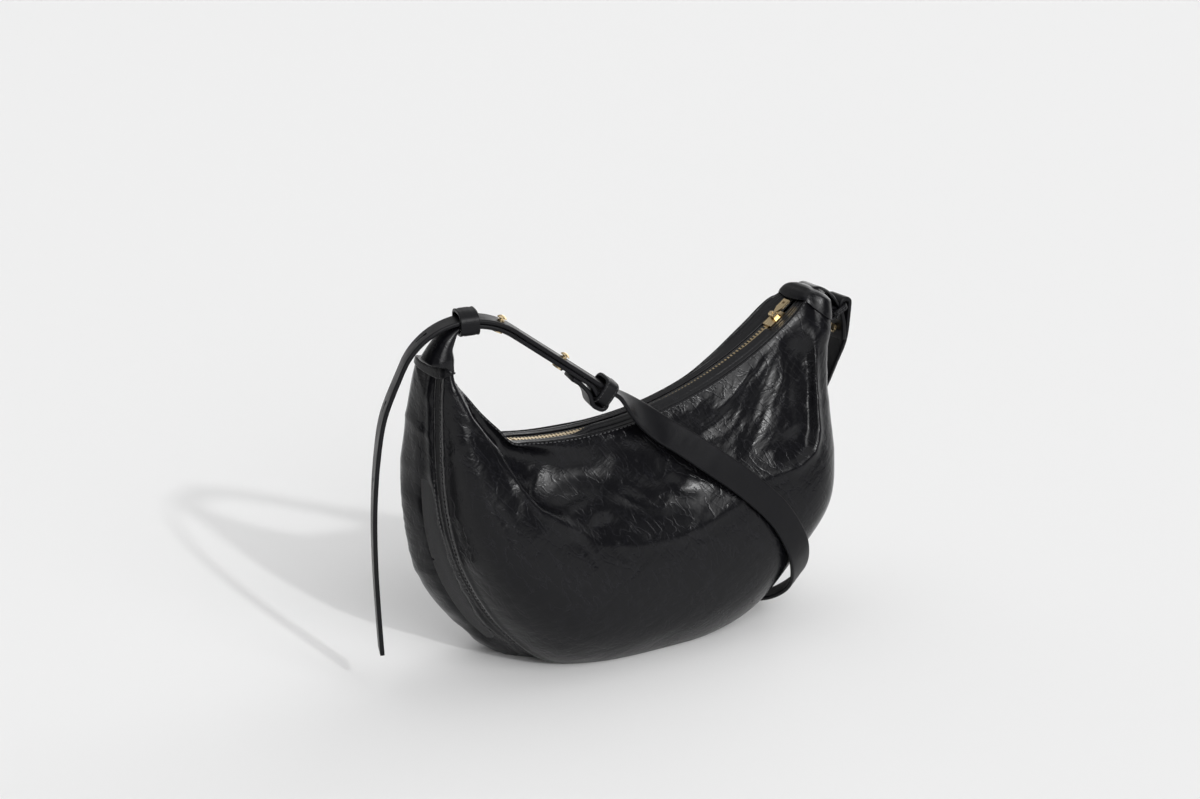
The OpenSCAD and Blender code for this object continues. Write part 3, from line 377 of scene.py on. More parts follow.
def relief(side, x, y, z, v, fine, to_seam):
    """How far the leather stands out of the plain shell at each place, in millimetres."""
    def folds(*kind):
        return crinkle(x, y, z, *kind) - CRINKLE_LEVEL
    h = front_slump(x, z, v) if side < 0 else creased(BACK_CREASES, x, z)
    if fine and side < 0:
        upper = smooth_all((z - 88) / 30)
        cluster = bell((x - 66) / 46, (z - 158) / 30)
        worn = bell((x + 122) / 26, (z - 92) / 34)
        h = h + creased(FRONT_CREASES, x, z) * smooth_all(v / 0.08)
        h = h + folds(44, 3.1, 2.2, 40) * (0.06 + 0.3 * upper + 0.45 * cluster)
        h = h + folds(20, 7.7, 4.5, 52) * (0.02 + 0.06 * upper + 0.32 * cluster)
        h = h + folds(18, 2.7, 2.6, -50) * (0.02 + 0.25 * worn)
    elif fine:
        h = h + folds(40, 1.3, 2.0, 60) * 0.9 + folds(20, 5.3, 2.6, 75) * 0.35
    if side < 0:
        h = h * (1 - smooth_all((z - 184) / 14) * smooth_all((x - 96) / 12))
    h = h * smooth_all((1 - v) / EDGE_FADE) * smooth_all(v / EDGE_FADE)
    if fine:
        # The puff beside the outer seam, the groove of its stitches and the turn into the seam
        h = h + 0.7 * bell((to_seam - 7.5) / 2.6) - 0.35 * bell((to_seam - 3.6) / 0.8) - 1.5 * bell(to_seam / 1.3)
    return h


# Meshes
def as_object(name, bm, finish, body, replaces=()):
    mesh = bpy.data.meshes.new(name)
    bm.to_mesh(mesh)
    bm.free()
    for p in mesh.polygons:
        p.use_smooth = True
    obj = bpy.data.objects.new(name, mesh)
    bpy.context.scene.collection.objects.link(obj)
    mesh.materials.append(finish_of(finish))
    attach(obj, body)
    if replaces:
        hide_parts(*replaces)
    return obj


def mapped_grid(points, outward=None):
    """A sheet whose vertices lie at points[i][j] in millimetres. Without a way outwards it closes round."""
    lengths = surface_lengths(points)
    points = np.asarray(points, float)
    n, m = points.shape[0] - 1, points.shape[1] - 1
    bm = bmesh.new()
    bmesh.ops.create_grid(bm, x_segments=n, y_segments=m, size=0.5)
    place = {q: (round((q.co.x + 0.5) * n), round((q.co.y + 0.5) * m)) for q in bm.verts}
    layer = bm.loops.layers.uv.new("UVMap")
    for f in bm.faces:
        for loop in f.loops:
            i, j = place[loop.vert]
            loop[layer].uv = lengths[i][j]
    for q, ij in place.items():
        q.co = Vector(points[ij]) * MM
    if outward is None:
        bmesh.ops.remove_doubles(bm, verts=bm.verts, dist=2e-6)
        bmesh.ops.recalc_face_normals(bm, faces=bm.faces)
        return bm
    bm.normal_update()
    if sum(f.normal.dot(Vector(outward(f.calc_center_median()))) for f in bm.faces) < 0:
        bmesh.ops.reverse_faces(bm, faces=bm.faces)
    return bm


def lengths_along(points):
    return np.concatenate([[0.0], np.cumsum(np.linalg.norm(np.diff(points, axis=0), axis=1))])


def surface_lengths(points):
    """UV coordinates in metres along and across a sheet of points in millimetres."""
    p = np.asarray(points, float) * MM
    along = lengths_along(p[:, p.shape[1] // 2])
    return [[(a, b) for b in lengths_along(line)] for a, line in zip(along, p)]


def thicken(obj, t, offset=-1.0):
    mod = obj.modifiers.new("Thickness", "SOLIDIFY")
    mod.thickness = t * MM
    mod.offset = offset
    mod.use_even_offset = False
    mod.use_quality_normals = True
    return mod


def shell_grid(side, us, vs, d, fine=False):
    """Points and normals of a panel's layer, with the leather's slump, d under the outer face."""
    base = np.array([[shell_point(side, u, v, 0) for v in vs] for u in us])
    n = np.cross(np.gradient(base, axis=0), np.gradient(base, axis=1))
    n /= np.maximum(np.linalg.norm(n, axis=2, keepdims=True), 1e-9)
    if np.sum(n[:, :, 1] * side) < 0:
        n = -n
    v = np.broadcast_to(np.array(vs)[None, :], base.shape[:2])
    steps = np.linalg.norm(np.diff(base, axis=1), axis=2)
    to_seam = np.concatenate([np.cumsum(steps[:, ::-1], axis=1)[:, ::-1], np.zeros((base.shape[0], 1))], 1)
    h = relief(side, base[:, :, 0], base[:, :, 1], base[:, :, 2], v, fine, to_seam)
    # Near the floor the leather only goes in
    h = np.where(base[:, :, 2] < 3, np.minimum(h, 0), h)
    points = np.array([[shell_point(side, u, w, d) for w in vs] for u in us]) if d else base
    points = points + n * h[:, :, None]
    points[:, :, 2] = np.maximum(points[:, :, 2], d if d > 0 else 0.02)
    return points, n


def spaced(a, b, n):
    return [a + (b - a) * i / n for i in range(n + 1)]


def rows_down(n):
    """Shares down a rib, closer near the seam where the leather turns sharply."""
    return [1 - (1 - k) ** 1.25 for k in spaced(0, 1, n)]


# Straps and bands
def section(width, thick, steps=10, round_r=0.9):
    """Outline of a flat strap's section, as places across and through."""
    r = min(round_r, thick / 2 - 0.05)
    out = []
    corners = [(width / 2 - r, thick / 2 - r, 0), (-width / 2 + r, thick / 2 - r, 90),
               (-width / 2 + r, -thick / 2 + r, 180), (width / 2 - r, -thick / 2 + r, 270)]
    for k, (x, y, turn) in enumerate(corners):
        for a in (0, 30, 60, 90):
            p = math.radians(turn + a)
            out.append((x + r * math.cos(p), y + r * math.sin(p)))
        if k in (0, 2):
            out += [(mix(x, corners[k + 1][0], i / steps), y + (r if k == 0 else -r)) for i in range(1, steps)]
    return out


def frames_along(points, widths, closed=False):
    """At each point the way along a strap, the way of its width and the way through it."""
    n = len(points)
    result = []
    for i in range(n):
        a = points[(i + 1) % n] if closed else points[min(i + 1, n - 1)]
        b = points[i - 1] if closed else points[max(i - 1, 0)]
        t = unit(a - b)
        w = np.asarray(widths[i], float)
        w = unit(w - (w @ t) * t)
        result.append((t, w, np.cross(t, w)))
    return result


def strap_mesh(points, widths, width, thick, closed=False, shape=None, groove=0.0):
    """A flat strap swept along points, each with the direction of its width."""
    grid = []
    for p, (_, a, b) in zip(points, frames_along(points, widths, closed)):
        ring = []
        for x, y in shape or section(width, thick):
            dip = groove * math.exp(-((width / 2 - 1.9 - abs(x)) / 0.35) ** 2)
            ring.append(p + a * x + b * (y - math.copysign(dip, y)))
        grid.append(ring + [ring[0]])
    if closed:
        grid.append(grid[0])
    else:
        caps = []
        for ring, p, inner in ((grid[0], points[0], points[1]), (grid[-1], points[-1], points[-2])):
            out = unit(p - inner)
            caps.append([[p + out * 0.4] * len(ring), [p + (q - p) * 0.86 + out * 0.35 for q in ring]])
        grid = caps[0] + grid + caps[1][::-1]
    return mapped_grid(grid)


# The arch over the left horn and the doubled stretch after it
ARCH_YAW = math.radians(-16)
ARCH_AXIS_X = -0.903 * SEAM_HALF_W
ARCH_C = np.array([-0.845 * SEAM_HALF_W, 0, HORN_H + ARCH_RISE - ARCH_R])
LAYER = STRAP_T + SOFT_GAP
ARCH_LOW_R = ARCH_R - LAYER
ARCH_END = 35.7
NECK_TURN = -11


def turn_in_arch(v):
    c, s = math.cos(ARCH_YAW), math.sin(ARCH_YAW)
    return np.array([v[0] * c - v[1] * s, v[0] * s + v[1] * c, v[2]])


def in_arch(p):
    """A place in the upright plane of the arch, turned with it about the horn."""
    axis = np.array([ARCH_AXIS_X, 0, 0])
    return axis + turn_in_arch(p - axis)


def flat_arch(r, a):
    a = math.radians(a)
    return ARCH_C + r * np.array([math.sin(a), 0, math.cos(a)])


def on_arch(r, a):
    return in_arch(flat_arch(r, a))


def around(a):
    """The way from the middle of a turn in the XZ plane, a degrees from +X towards +Z."""
    return np.array([math.cos(math.radians(a)), 0, math.sin(math.radians(a))])


LINE_START = flat_arch(ARCH_R, ARCH_END)
LINE_DIR = around(-ARCH_END)
LINE_UP = around(90 - ARCH_END)


def flat_line(s, h):
    """A place s along the doubled stretch after the arch and h over it."""
    return LINE_START + s * LINE_DIR + h * LINE_UP


def on_line(s, h):
    return in_arch(flat_line(s, h))


LEG_GAP = 0.3
LOOP_R = math.hypot(RING_T, RING_T) / 2 + LEG_GAP + STRAP_T / 2
BEND_S = DOUBLE_L + (LINK_W - RING_T) / 2
LINK_SLACK = 3.6
LOW_LEG = -(LAYER + LOOP_R + LINK_SLACK)
FLAP_L = 24
TAB_Y = 0.04 * SEAM_HALF_W
TAB_T = 2.4
TAB_W = STRAP_W - 2
END_BAR_R = math.hypot(RING_T, END_LINK_W) / 2
TAB_R = END_BAR_R + LEG_GAP
END_LEG = np.array([1.025 * SEAM_HALF_W, TAB_Y, 0.978 * HORN_H])
END_TURN = 26
STRAP_LEG = END_LEG + END_LINK_REACH * around(END_TURN)
HANG_TURN = math.radians(-2)
END_LOOP_R = END_BAR_R + LEG_GAP + STRAP_T / 2
HANG = np.array([-math.sin(HANG_TURN), 0, -math.cos(HANG_TURN)])
ASIDE = np.array([-math.cos(HANG_TURN), 0, math.sin(HANG_TURN)])
END_FLAP_L = 24


def at_hang(s, h):
    """A place s down the strap that hangs from the end ring and h to its side."""
    return STRAP_LEG + s * HANG + h * ASIDE


# The long strap's way behind the bag, round its lower right corner and up across the front:
# shares of the half width, of that side's depth and of the horn height, then the width's direction
CROSSING_SHARES = [
    (1.092, 0.217, 0.823, 0.05, -1, 0), (1.088, 0.367, 0.74, 0.2, -0.98, 0),
    (1.07, 0.517, 0.65, 0.35, -0.93, -0.05), (1.035, 0.63, 0.55, 0.5, -0.85, -0.1),
    (1.0, 0.7, 0.42, 0.6, -0.8, -0.15), (0.94, 0.708, 0.26, 0.62, -0.75, -0.2),
    (0.863, 0.633, 0.127, 0.7, -0.65, -0.1), (0.763, 0.45, 0.054, 0.8, -0.55, 0),
    (0.692, 0.183, 0.042, 0.95, -0.25, 0.15), (0.669, -0.064, 0.059, 0.93, -0.1, 0.3),
    (0.672, -0.362, 0.093, 0.9, 0.1, 0.45), (0.682, -0.617, 0.137, 0.85, 0.2, 0.55),
    (0.676, -0.809, 0.186, 0.8, 0.15, 0.6), (0.649, -0.957, 0.245, 0.77, 0.05, 0.65),
    (0.609, -1.053, 0.309, 0.76, 0, 0.65), (0.548, -1.074, 0.385, 0.73, 0, 0.68),
    (0.488, -1.064, 0.443, 0.71, 0, 0.7), (0.411, -1.021, 0.5, 0.7, 0, 0.71), (0.321, -0.957, 0.56, 0.69, 0, 0.72),
    (0.231, -0.883, 0.613, 0.67, 0, 0.74), (0.147, -0.798, 0.661, 0.65, 0.05, 0.76),
    (0.067, -0.713, 0.706, 0.62, 0.15, 0.77), (-0.02, -0.638, 0.75, 0.58, 0.3, 0.75),
    (-0.104, -0.606, 0.8, 0.5, 0.5, 0.7), (-0.181, -0.596, 0.85, 0.4, 0.8, 0.4)]
TAIL_SHARES = [(-1.197, 0.235, 0.885, 0.36, 0.93, -0.1), (-1.23, 0.25, 0.75, 0.38, 0.92, -0.06),
               (-1.247, 0.255, 0.6, 0.4, 0.92, 0), (-1.25, 0.255, 0.45, 0.4, 0.92, 0),
               (-1.244, 0.25, 0.3, 0.4, 0.92, 0), (-1.232, 0.245, 0.135, 0.4, 0.92, 0)]
ARCH_STEP = 6
FREE_TURN = -68
ALONG_W = np.array([-math.sin(ARCH_YAW), math.cos(ARCH_YAW), 0])
ACROSS = np.array([0, 1.0, 0])
ARCH_LEAN = -8
# Rounds of smoothing where the strap leaves the end ring, and the points before and after that place
BEND_ROUNDS = 40
BEND_BEFORE = 14
BEND_AFTER = 60


def share_place(s):
    return np.array([s[0] * SEAM_HALF_W, s[1] * (FRONT_DEPTH if s[1] < 0 else BACK_DEPTH), s[2] * HORN_H])


def leaning_w(a):
    k = math.radians(ARCH_LEAN * clamp(a / FREE_TURN, 0, 1))
    r = math.radians(a)
    return math.cos(k) * ALONG_W + math.sin(k) * np.array(
        [math.sin(r) * math.cos(ARCH_YAW), math.sin(r) * math.sin(ARCH_YAW), math.cos(r)])


def long_strap_route():
    r = END_LOOP_R
    loop = [at_hang(END_FLAP_L, LAYER / 2), at_hang(3.2 * r, LAYER / 2), at_hang(1.6 * r, 0.72 * r)]
    loop += [at_hang(-r * math.sin(math.radians(a)), r * math.cos(math.radians(a))) for a in range(0, 181, 30)]
    loop += [at_hang(1.6 * r, -0.72 * r), at_hang(3.2 * r, -LAYER / 2)]
    crossing = [at_hang(END_FLAP_L, -LAYER / 2)] + [share_place(s) for s in CROSSING_SHARES]
    crossing.append(on_line(DOUBLE_L + 1.5 * LINK_W, 0))
    crossing_w = [-ACROSS] + [np.array(s[3:], float) for s in CROSSING_SHARES] + [ALONG_W]
    whole_steps = int((ARCH_END - FREE_TURN - ARCH_STEP / 2) / ARCH_STEP)
    turns = spaced(ARCH_END, ARCH_END - whole_steps * ARCH_STEP, 70)
    tail = [on_arch(ARCH_R, FREE_TURN)] + [share_place(s) for s in TAIL_SHARES]
    tail_w = [leaning_w(FREE_TURN)] + [np.array(s[3:], float) for s in TAIL_SHARES]
    start = refine(loop + crossing[:1], 4)[:-1]
    points = start + refine(crossing, 10) + [on_arch(ARCH_R, b) for b in turns] + refine(tail, 12)
    widths = [-ACROSS] * len(start) + refine(crossing_w, 10) + [leaning_w(b) for b in turns] + refine(tail_w, 12)
    first, last = len(start) - BEND_BEFORE, len(start) + BEND_AFTER
    for _ in range(BEND_ROUNDS):
        points[first:last] = [0.25 * points[i - 1] + 0.5 * points[i] + 0.25 * points[i + 1] for i in range(first, last)]
    return points, widths


def short_strap_route():
    def before_ring(links, h):
        return on_line(DOUBLE_L - links * LINK_W, h)
    bend = [on_line(BEND_S + LOOP_R * math.cos(math.radians(a)), LOW_LEG + LOOP_R * math.sin(math.radians(a)))
            for a in range(90, -91, -18)]
    points = [on_arch(ARCH_LOW_R, a) for a in spaced(NECK_TURN + 1, ARCH_END, 30)]
    points += refine([points[-1], before_ring(2.8, -LAYER), before_ring(1.5, -LAYER - 0.2 * LINK_SLACK),
                      before_ring(0.5, LOW_LEG + LOOP_R), bend[0]], 8)[1:-1]
    points += bend
    points += refine([bend[-1], before_ring(0.5, LOW_LEG - LOOP_R), before_ring(1.5, -2.7 * LAYER),
                      before_ring(2.8, -2 * LAYER), on_line(DOUBLE_L - FLAP_L, -2 * LAYER)], 6)[1:]
    return points, [ALONG_W] * len(points)


# Caps
RING_M = 8
RING_TOP = 3
RIM_TURN = 145


def horn_corner(side, u, d):
    rim = edge_at(side, u)
    out = unit(rim - seam_at(u)) * d
    return np.array([rim[0] + out[0], side * (mouth_at(side, u) + d), rim[1] + out[1]])


def horn_ring(u, d, dip=0.0, soft=0.0):
    """Points round a horn at station u, its seam's side dipping further on and its corners softened."""
    ring = [horn_corner(-1, u, d)]
    ring += [shell_point(-1, u + dip * (j / RING_M) ** 2, j / RING_M, -d) for j in range(1, RING_M + 1)]
    ring += [shell_point(1, u + dip * (1 - j / RING_M) ** 2, 1 - j / RING_M, -d) for j in range(1, RING_M)]
    a, b = horn_corner(1, u, d), horn_corner(-1, u, d)
    ring += [mix(a, b, j / (RING_TOP + 1)) for j in range(RING_TOP + 1)]
    for i in (0, 2 * RING_M):
        ring[i] = mix(ring[i], (ring[i - 1] + ring[i + 1]) / 2, soft)
    return ring


def lipped(ring, u, reach, rise=0.0):
    """A horn's ring with its top drawn out over the zip, as far as so many stations before u."""
    ahead = rim_at(u - reach) - rim_at(u)
    push = np.array([ahead[0], 0, ahead[1] + rise])
    n = 2 * RING_M
    return [p + math.sin(math.pi * (i - n) / (RING_TOP + 1)) * push if i > n else p for i, p in enumerate(ring)]


def domed(ring, share, rise):
    """A ring drawn in towards its middle and lifted."""
    middle = np.mean(np.array(ring), axis=0)
    return [mix(middle, p, share) + np.array([0, 0, rise]) for p in ring]


# Angle of each point round an oval ring that lines up with a horn's ring
RING_TURN = [RIM_TURN * (j / RING_M - 1) for j in range(2 * RING_M + 1)]
RING_TURN += [RIM_TURN + (360 - 2 * RIM_TURN) * j / (RING_TOP + 1) for j in range(1, RING_TOP + 1)]


def squared(c):
    return math.copysign(abs(c) ** 0.7, c)


def oval_ring(centre, turn, a, b, yaw=0.0):
    t = math.radians(turn)
    short = np.array([math.cos(t) * math.cos(yaw), math.cos(t) * math.sin(yaw), math.sin(t)])
    wide = np.array([-math.sin(yaw), math.cos(yaw), 0])
    return [np.asarray(centre, float) + squared(math.cos(math.radians(p))) * a * short
            + squared(math.sin(math.radians(p))) * b * wide for p in RING_TURN]


def closed_ring(ring, steps, rounding=4):
    p = [np.asarray(q, float) for q in ring]
    n = len(p)
    out = [mix(p[i], p[(i + 1) % n], k / steps) for i in range(n) for k in range(steps)]
    for _ in range(rounding):
        out = [0.25 * out[i - 1] + 0.5 * q + 0.25 * out[(i + 1) % len(out)] for i, q in enumerate(out)]
    return out


def loft(rings, steps_along, steps_round=4, rounding=5):
    """Grid of points over a run of rings, smooth round them and along them."""
    rounds = [np.array(closed_ring(r, steps_round)) for r in rings]
    pieces = [mix(a, b, k / steps_along) for a, b in zip(rounds, rounds[1:]) for k in range(steps_along)]
    pieces.append(rounds[-1])
    for _ in range(rounding):
        pieces[1:-1] = [0.25 * a + 0.5 * p + 0.25 * b for a, p, b in zip(pieces, pieces[1:], pieces[2:])]
    return [list(r) + [r[0]] for r in pieces]


def cap_mesh(inner, outer):
    """A cap: its inner skin from a pole to the mouth, then its outer skin to the far pole."""
    inside, outside = loft(inner, 4), loft(outer, 8)
    first, last = [[np.mean(np.array(ring[:-1]), axis=0)] * len(ring) for ring in (inside[0], outside[-1])]
    lip = [mix(a, b, 0.5) for a, b in zip(inside[-1], outside[0])]
    return mapped_grid([first] + inside + [lip] + outside + [last])


# Materials
def principled(name, colour, rough, metallic=0.0, specular=0.5, sheen=0.0):
    m = bpy.data.materials.new(name)
    m.use_nodes = True
    m.diffuse_color = (*colour, 1)
    shader = m.node_tree.nodes["Principled BSDF"]
    for socket, value in (("Base Color", (*colour, 1)), ("Roughness", rough), ("Metallic", metallic),
                          ("Specular IOR Level", specular), ("Sheen Weight", sheen)):
        shader.inputs[socket].default_value = value
    return m, m.node_tree, shader


def add(tree, kind, **values):
    node = tree.nodes.new(kind)
    for key, value in values.items():
        if key in node.inputs:
            node.inputs[key].default_value = value
        else:
            setattr(node, key, value)
    return node


def ramp(tree, source, stops):
    node = tree.nodes.new("ShaderNodeValToRGB")
    elements = node.color_ramp.elements
    while len(elements) < len(stops):
        elements.new(0.5)
    for e, (pos, value) in zip(elements, stops):
        e.position = pos
        e.color = (*value, 1) if isinstance(value, tuple) else (value, value, value, 1)
    tree.links.new(source, node.inputs["Fac"])
    return node.outputs["Color"]


def math_node(tree, operation, *values, kind="ShaderNodeMath"):
    """A math node between outputs and numbers, and the output that holds its result."""
    node = add(tree, kind, operation=operation)
    for socket, value in zip(node.inputs, values):
        if isinstance(value, bpy.types.NodeSocket):
            tree.links.new(value, socket)
        else:
            socket.default_value = value
    return node.outputs["Value" if operation == "DOT_PRODUCT" else 0]


def vector_math(tree, operation, *values):
    return math_node(tree, operation, *values, kind="ShaderNodeVectorMath")


def texture(tree, kind, place, **values):
    """A texture node that reads its pattern at a place."""
    node = add(tree, kind, **values)
    tree.links.new(place, node.inputs["Vector"])
    return node


def noise_of(tree, place, **values):
    return texture(tree, "ShaderNodeTexNoise", place, **values).outputs["Fac"]


def where_of(tree, kind):
    return tree.nodes.new("ShaderNodeTexCoord").outputs[kind]


def shade(colour, k):
    return tuple(min(1, c * k) for c in colour)


def bumps(tree, shader, layers):
    """Chains bump nodes: each layer is a height, how far it reaches in metres and its strength."""
    target = shader.inputs["Normal"]
    for height, distance, strength in reversed(layers):
        b = add(tree, "ShaderNodeBump", Strength=strength, Distance=distance)
        tree.links.new(height, b.inputs["Height"])
        tree.links.new(b.outputs["Normal"], target)
        target = b.inputs["Normal"]


# How far the leather's pattern is drawn out along each way
LEATHER_STRETCH = (2.6, 1.3, 0.8)


def leather_material(name, colour, rough, crumple=1.0):
    """Black crinkled leather: folds, hairline creases and fine grain, with its polish worn unevenly."""
    m, tree, shader = principled(name, colour, rough, specular=0.23)
    link = tree.links.new
    place = where_of(tree, "Object")
    ways = []
    for turn in (0.9, -0.6):
        way = texture(tree, "ShaderNodeMapping", place, vector_type="TEXTURE", Rotation=(0.1, turn, 0.1),
                      Scale=LEATHER_STRETCH)
        ways.append(way.outputs["Vector"])
    turned, across = ways
    warp = texture(tree, "ShaderNodeTexNoise", place, Scale=38.0, Detail=3.0)
    warped = vector_math(tree, "MULTIPLY_ADD", warp.outputs["Color"], (0.03, 0.03, 0.03), turned)
    folds = texture(tree, "ShaderNodeTexVoronoi", warped, feature="DISTANCE_TO_EDGE", Scale=40.0)
    fold_h = ramp(tree, folds.outputs["Distance"], [(0.0, 0.0), (0.1, 0.75), (0.45, 1.0)])
    hair = noise_of(tree, turned, Scale=120.0, Detail=3.0, Roughness=0.5, Distortion=0.4)
    hair_line = math_node(tree, "ABSOLUTE", math_node(tree, "SUBTRACT", hair, 0.5))
    hair_h = ramp(tree, hair_line, [(0.0, 0.0), (0.035, 0.9), (0.1, 1.0)])
    pores = texture(tree, "ShaderNodeTexVoronoi", place, Scale=1300.0)
    soft = noise_of(tree, place, Scale=520.0, Detail=3.0)
    streak = noise_of(tree, across, Scale=52.0, Detail=5.0, Roughness=0.6, Distortion=0.3)
    bumps(tree, shader, [(streak, 0.0024 * crumple, 0.32), (fold_h, 0.0004 * crumple, 0.1),
                         (hair_h, 0.0003 * crumple, 0.3), (soft, 0.0002, 0.15),
                         (pores.outputs["Distance"], 0.00012, 0.15)])
    cloud = noise_of(tree, place, Scale=24.0, Detail=4.0)
    link(ramp(tree, cloud, [(0.35, rough * 0.9), (0.65, min(1.0, rough * 1.15))]), shader.inputs["Roughness"])
    link(ramp(tree, hair_line, [(0.0, shade(colour, 1.7)), (0.03, colour)]), shader.inputs["Base Color"])
    return m


def strap_material(name, colour, rough):
    """Smooth satin strap leather with finer grain and cross wrinkles that follow the strap."""
    m, tree, shader = principled(name, colour, rough, specular=0.18)
    link = tree.links.new
    place = where_of(tree, "Object")
    flat = texture(tree, "ShaderNodeMapping", where_of(tree, "UV"), Scale=(1.0, 0.25, 1.0))
    wrinkle = noise_of(tree, flat.outputs["Vector"], Scale=320.0, Detail=3.0, Distortion=0.6)
    pores = texture(tree, "ShaderNodeTexVoronoi", place, Scale=1500.0).outputs["Distance"]
    wave = noise_of(tree, place, Scale=70.0, Detail=2.0)
    bumps(tree, shader, [(wave, 0.0012, 0.25), (wrinkle, 0.0003, 0.25), (pores, 0.0002, 0.2)])
    link(ramp(tree, wave, [(0.3, rough * 0.85), (0.7, min(1.0, rough * 1.2))]), shader.inputs["Roughness"])
    link(ramp(tree, pores, [(0.0, shade(colour, 0.8)), (1.0, shade(colour, 1.3))]), shader.inputs["Base Color"])
    return m


def cloth_material(name, colour, scale=900.0):
    """Plain woven cloth: crossed threads in height, painted shade in the gaps between them, and a little sheen."""
    m, tree, shader = principled(name, colour, 0.85, specular=0.25, sheen=0.15)
    uv = where_of(tree, "UV")
    warp, weft = [texture(tree, "ShaderNodeTexWave", uv, bands_direction=way, Scale=scale * 0.5, Distortion=0.4)
                  .outputs["Fac"] for way in ("X", "Y")]
    weave = math_node(tree, "MULTIPLY", warp, weft)
    bumps(tree, shader, [(weave, 0.0003, 0.5)])
    # Painted shade: the colour follows the weave's height, darker in the low gaps between threads and lighter on their
    # crossings
    painted_weave_shade = ramp(tree, weave, [(0.0, shade(colour, 0.7)), (1.0, shade(colour, 1.25))])
    tree.links.new(painted_weave_shade, shader.inputs["Base Color"])
    return m


def brass_material(name, colour):
    """Polished pale brass with faint rubbing marks."""
    m, tree, shader = principled(name, colour, 0.24, metallic=1.0)
    link = tree.links.new
    place = where_of(tree, "Object")
    cloud = noise_of(tree, place, Scale=120.0, Detail=3.0)
    bumps(tree, shader, [(noise_of(tree, place, Scale=900.0, Detail=4.0), 0.0001, 0.2)])
    link(ramp(tree, cloud, [(0.3, 0.2), (0.7, 0.32)]), shader.inputs["Roughness"])
    link(ramp(tree, cloud, [(0.35, shade(colour, 0.82)), (0.65, colour)]), shader.inputs["Base Color"])
    return m


_made = {}


def finish_of(kind):
    """The material of one finish, made once."""
    look = bpy.context.scene.half_moon_looks
    black, cloth = tuple(look.leather_colour), tuple(look.cloth_colour)
    makers = {
        "leather": lambda: leather_material("crinkled_leather", black, look.leather_rough),
        "smooth": lambda: leather_material("smooth_leather", black, look.leather_rough * 1.1, crumple=0.35),
        "strap": lambda: strap_material("strap_leather", tuple(look.strap_colour), look.strap_rough),
        "cloth": lambda: cloth_material("lining_cloth", cloth),
        "tape": lambda: cloth_material("tape_cloth", shade(cloth, 0.5), 1400.0),
        "thread": lambda: cloth_material("thread", tuple(look.thread_colour), 3000.0),
        "brass": lambda: brass_material("polished_brass", tuple(look.brass_colour)),
    }
    if kind not in _made:
        _made[kind] = makers[kind]()
    return _made[kind]


# Stitches
def place_along(points, steps, s):
    """The place a length s along points, the number of the point before it, with steps the length up to each."""
    i = min(max(int(np.searchsorted(steps, s, side="right")) - 1, 0), len(points) - 2)
    return mix(points[i], points[i + 1], (s - steps[i]) / max(steps[i + 1] - steps[i], 1e-9)), i


def stitches(points, normals, pitch, length, thick=0.7):
    """A row of thread stitches along a line of points in millimetres, sunk a little into the leather."""
    bm = bmesh.new()
    points = np.asarray(points, float)
    steps = lengths_along(points)
    for k in range(max(1, int(steps[-1] / pitch))):
        p, i = place_along(points, steps, (k + 0.5) * pitch)
        t = unit(points[i + 1] - points[i])
        up = unit(normals[i] - (normals[i] @ t) * t)
        side = np.cross(t, up)
        for q in bmesh.ops.create_icosphere(bm, subdivisions=1, radius=1.0)["verts"]:
            c = q.co.copy()
            place = p + t * (c.x * length / 2) + side * (c.y * thick / 2) + up * (c.z * thick / 2 + thick * 0.12)
            q.co = Vector(place) * MM
    return bm


def join(bms):
    """One bmesh of several."""
    whole = bmesh.new()
    for bm in bms:
        mesh = bpy.data.meshes.new("part")
        bm.to_mesh(mesh)
        bm.free()
        whole.from_mesh(mesh)
        bpy.data.meshes.remove(mesh)
    return whole


# Properties
def number(name, description, default, low=0.0, high=1.0):
    return bpy.props.FloatProperty(name=name, description=description, default=default, min=low, max=high)


def colour(name, description, default):
    return bpy.props.FloatVectorProperty(name=name, description=description, subtype="COLOR", default=default,
                                         min=0, max=1)


class HalfMoonSizes(bpy.types.PropertyGroup):
    """How finely the leather is modelled, and how it is sewn."""
    along: bpy.props.IntProperty(name="Steps along", description="Squares along a panel", default=270, min=60, max=300)
    down: bpy.props.IntProperty(name="Steps down", description="Squares down a panel", default=120, min=24, max=150)
    stitch_pitch: number("Stitch pitch", "Distance from one stitch to the next, in millimetres", 3.1, 2.0, 5.0)
    stitch_in: number("Stitch inset", "Distance from a seam to its stitches, in millimetres", 3.4, 1.0, 6.0)


class HalfMoonLooks(bpy.types.PropertyGroup):
    """Colours and polish of the finishes."""
    leather_colour: colour("Leather", "Colour of the bag's leather", (0.004, 0.004, 0.005))
    leather_rough: number("Leather roughness", "Roughness of the bag's leather", 0.24)
    strap_colour: colour("Strap", "Colour of the straps", (0.004, 0.004, 0.005))
    strap_rough: number("Strap roughness", "Roughness of the straps", 0.4)
    cloth_colour: colour("Lining", "Colour of the lining", (0.05, 0.05, 0.054))
    thread_colour: colour("Thread", "Colour of the thread", (0.09, 0.09, 0.094))
    brass_colour: colour("Brass", "Colour of the metal", (0.8, 0.63, 0.38))
    floor_colour: colour("Floor", "Colour of the floor", (0.84, 0.84, 0.84))


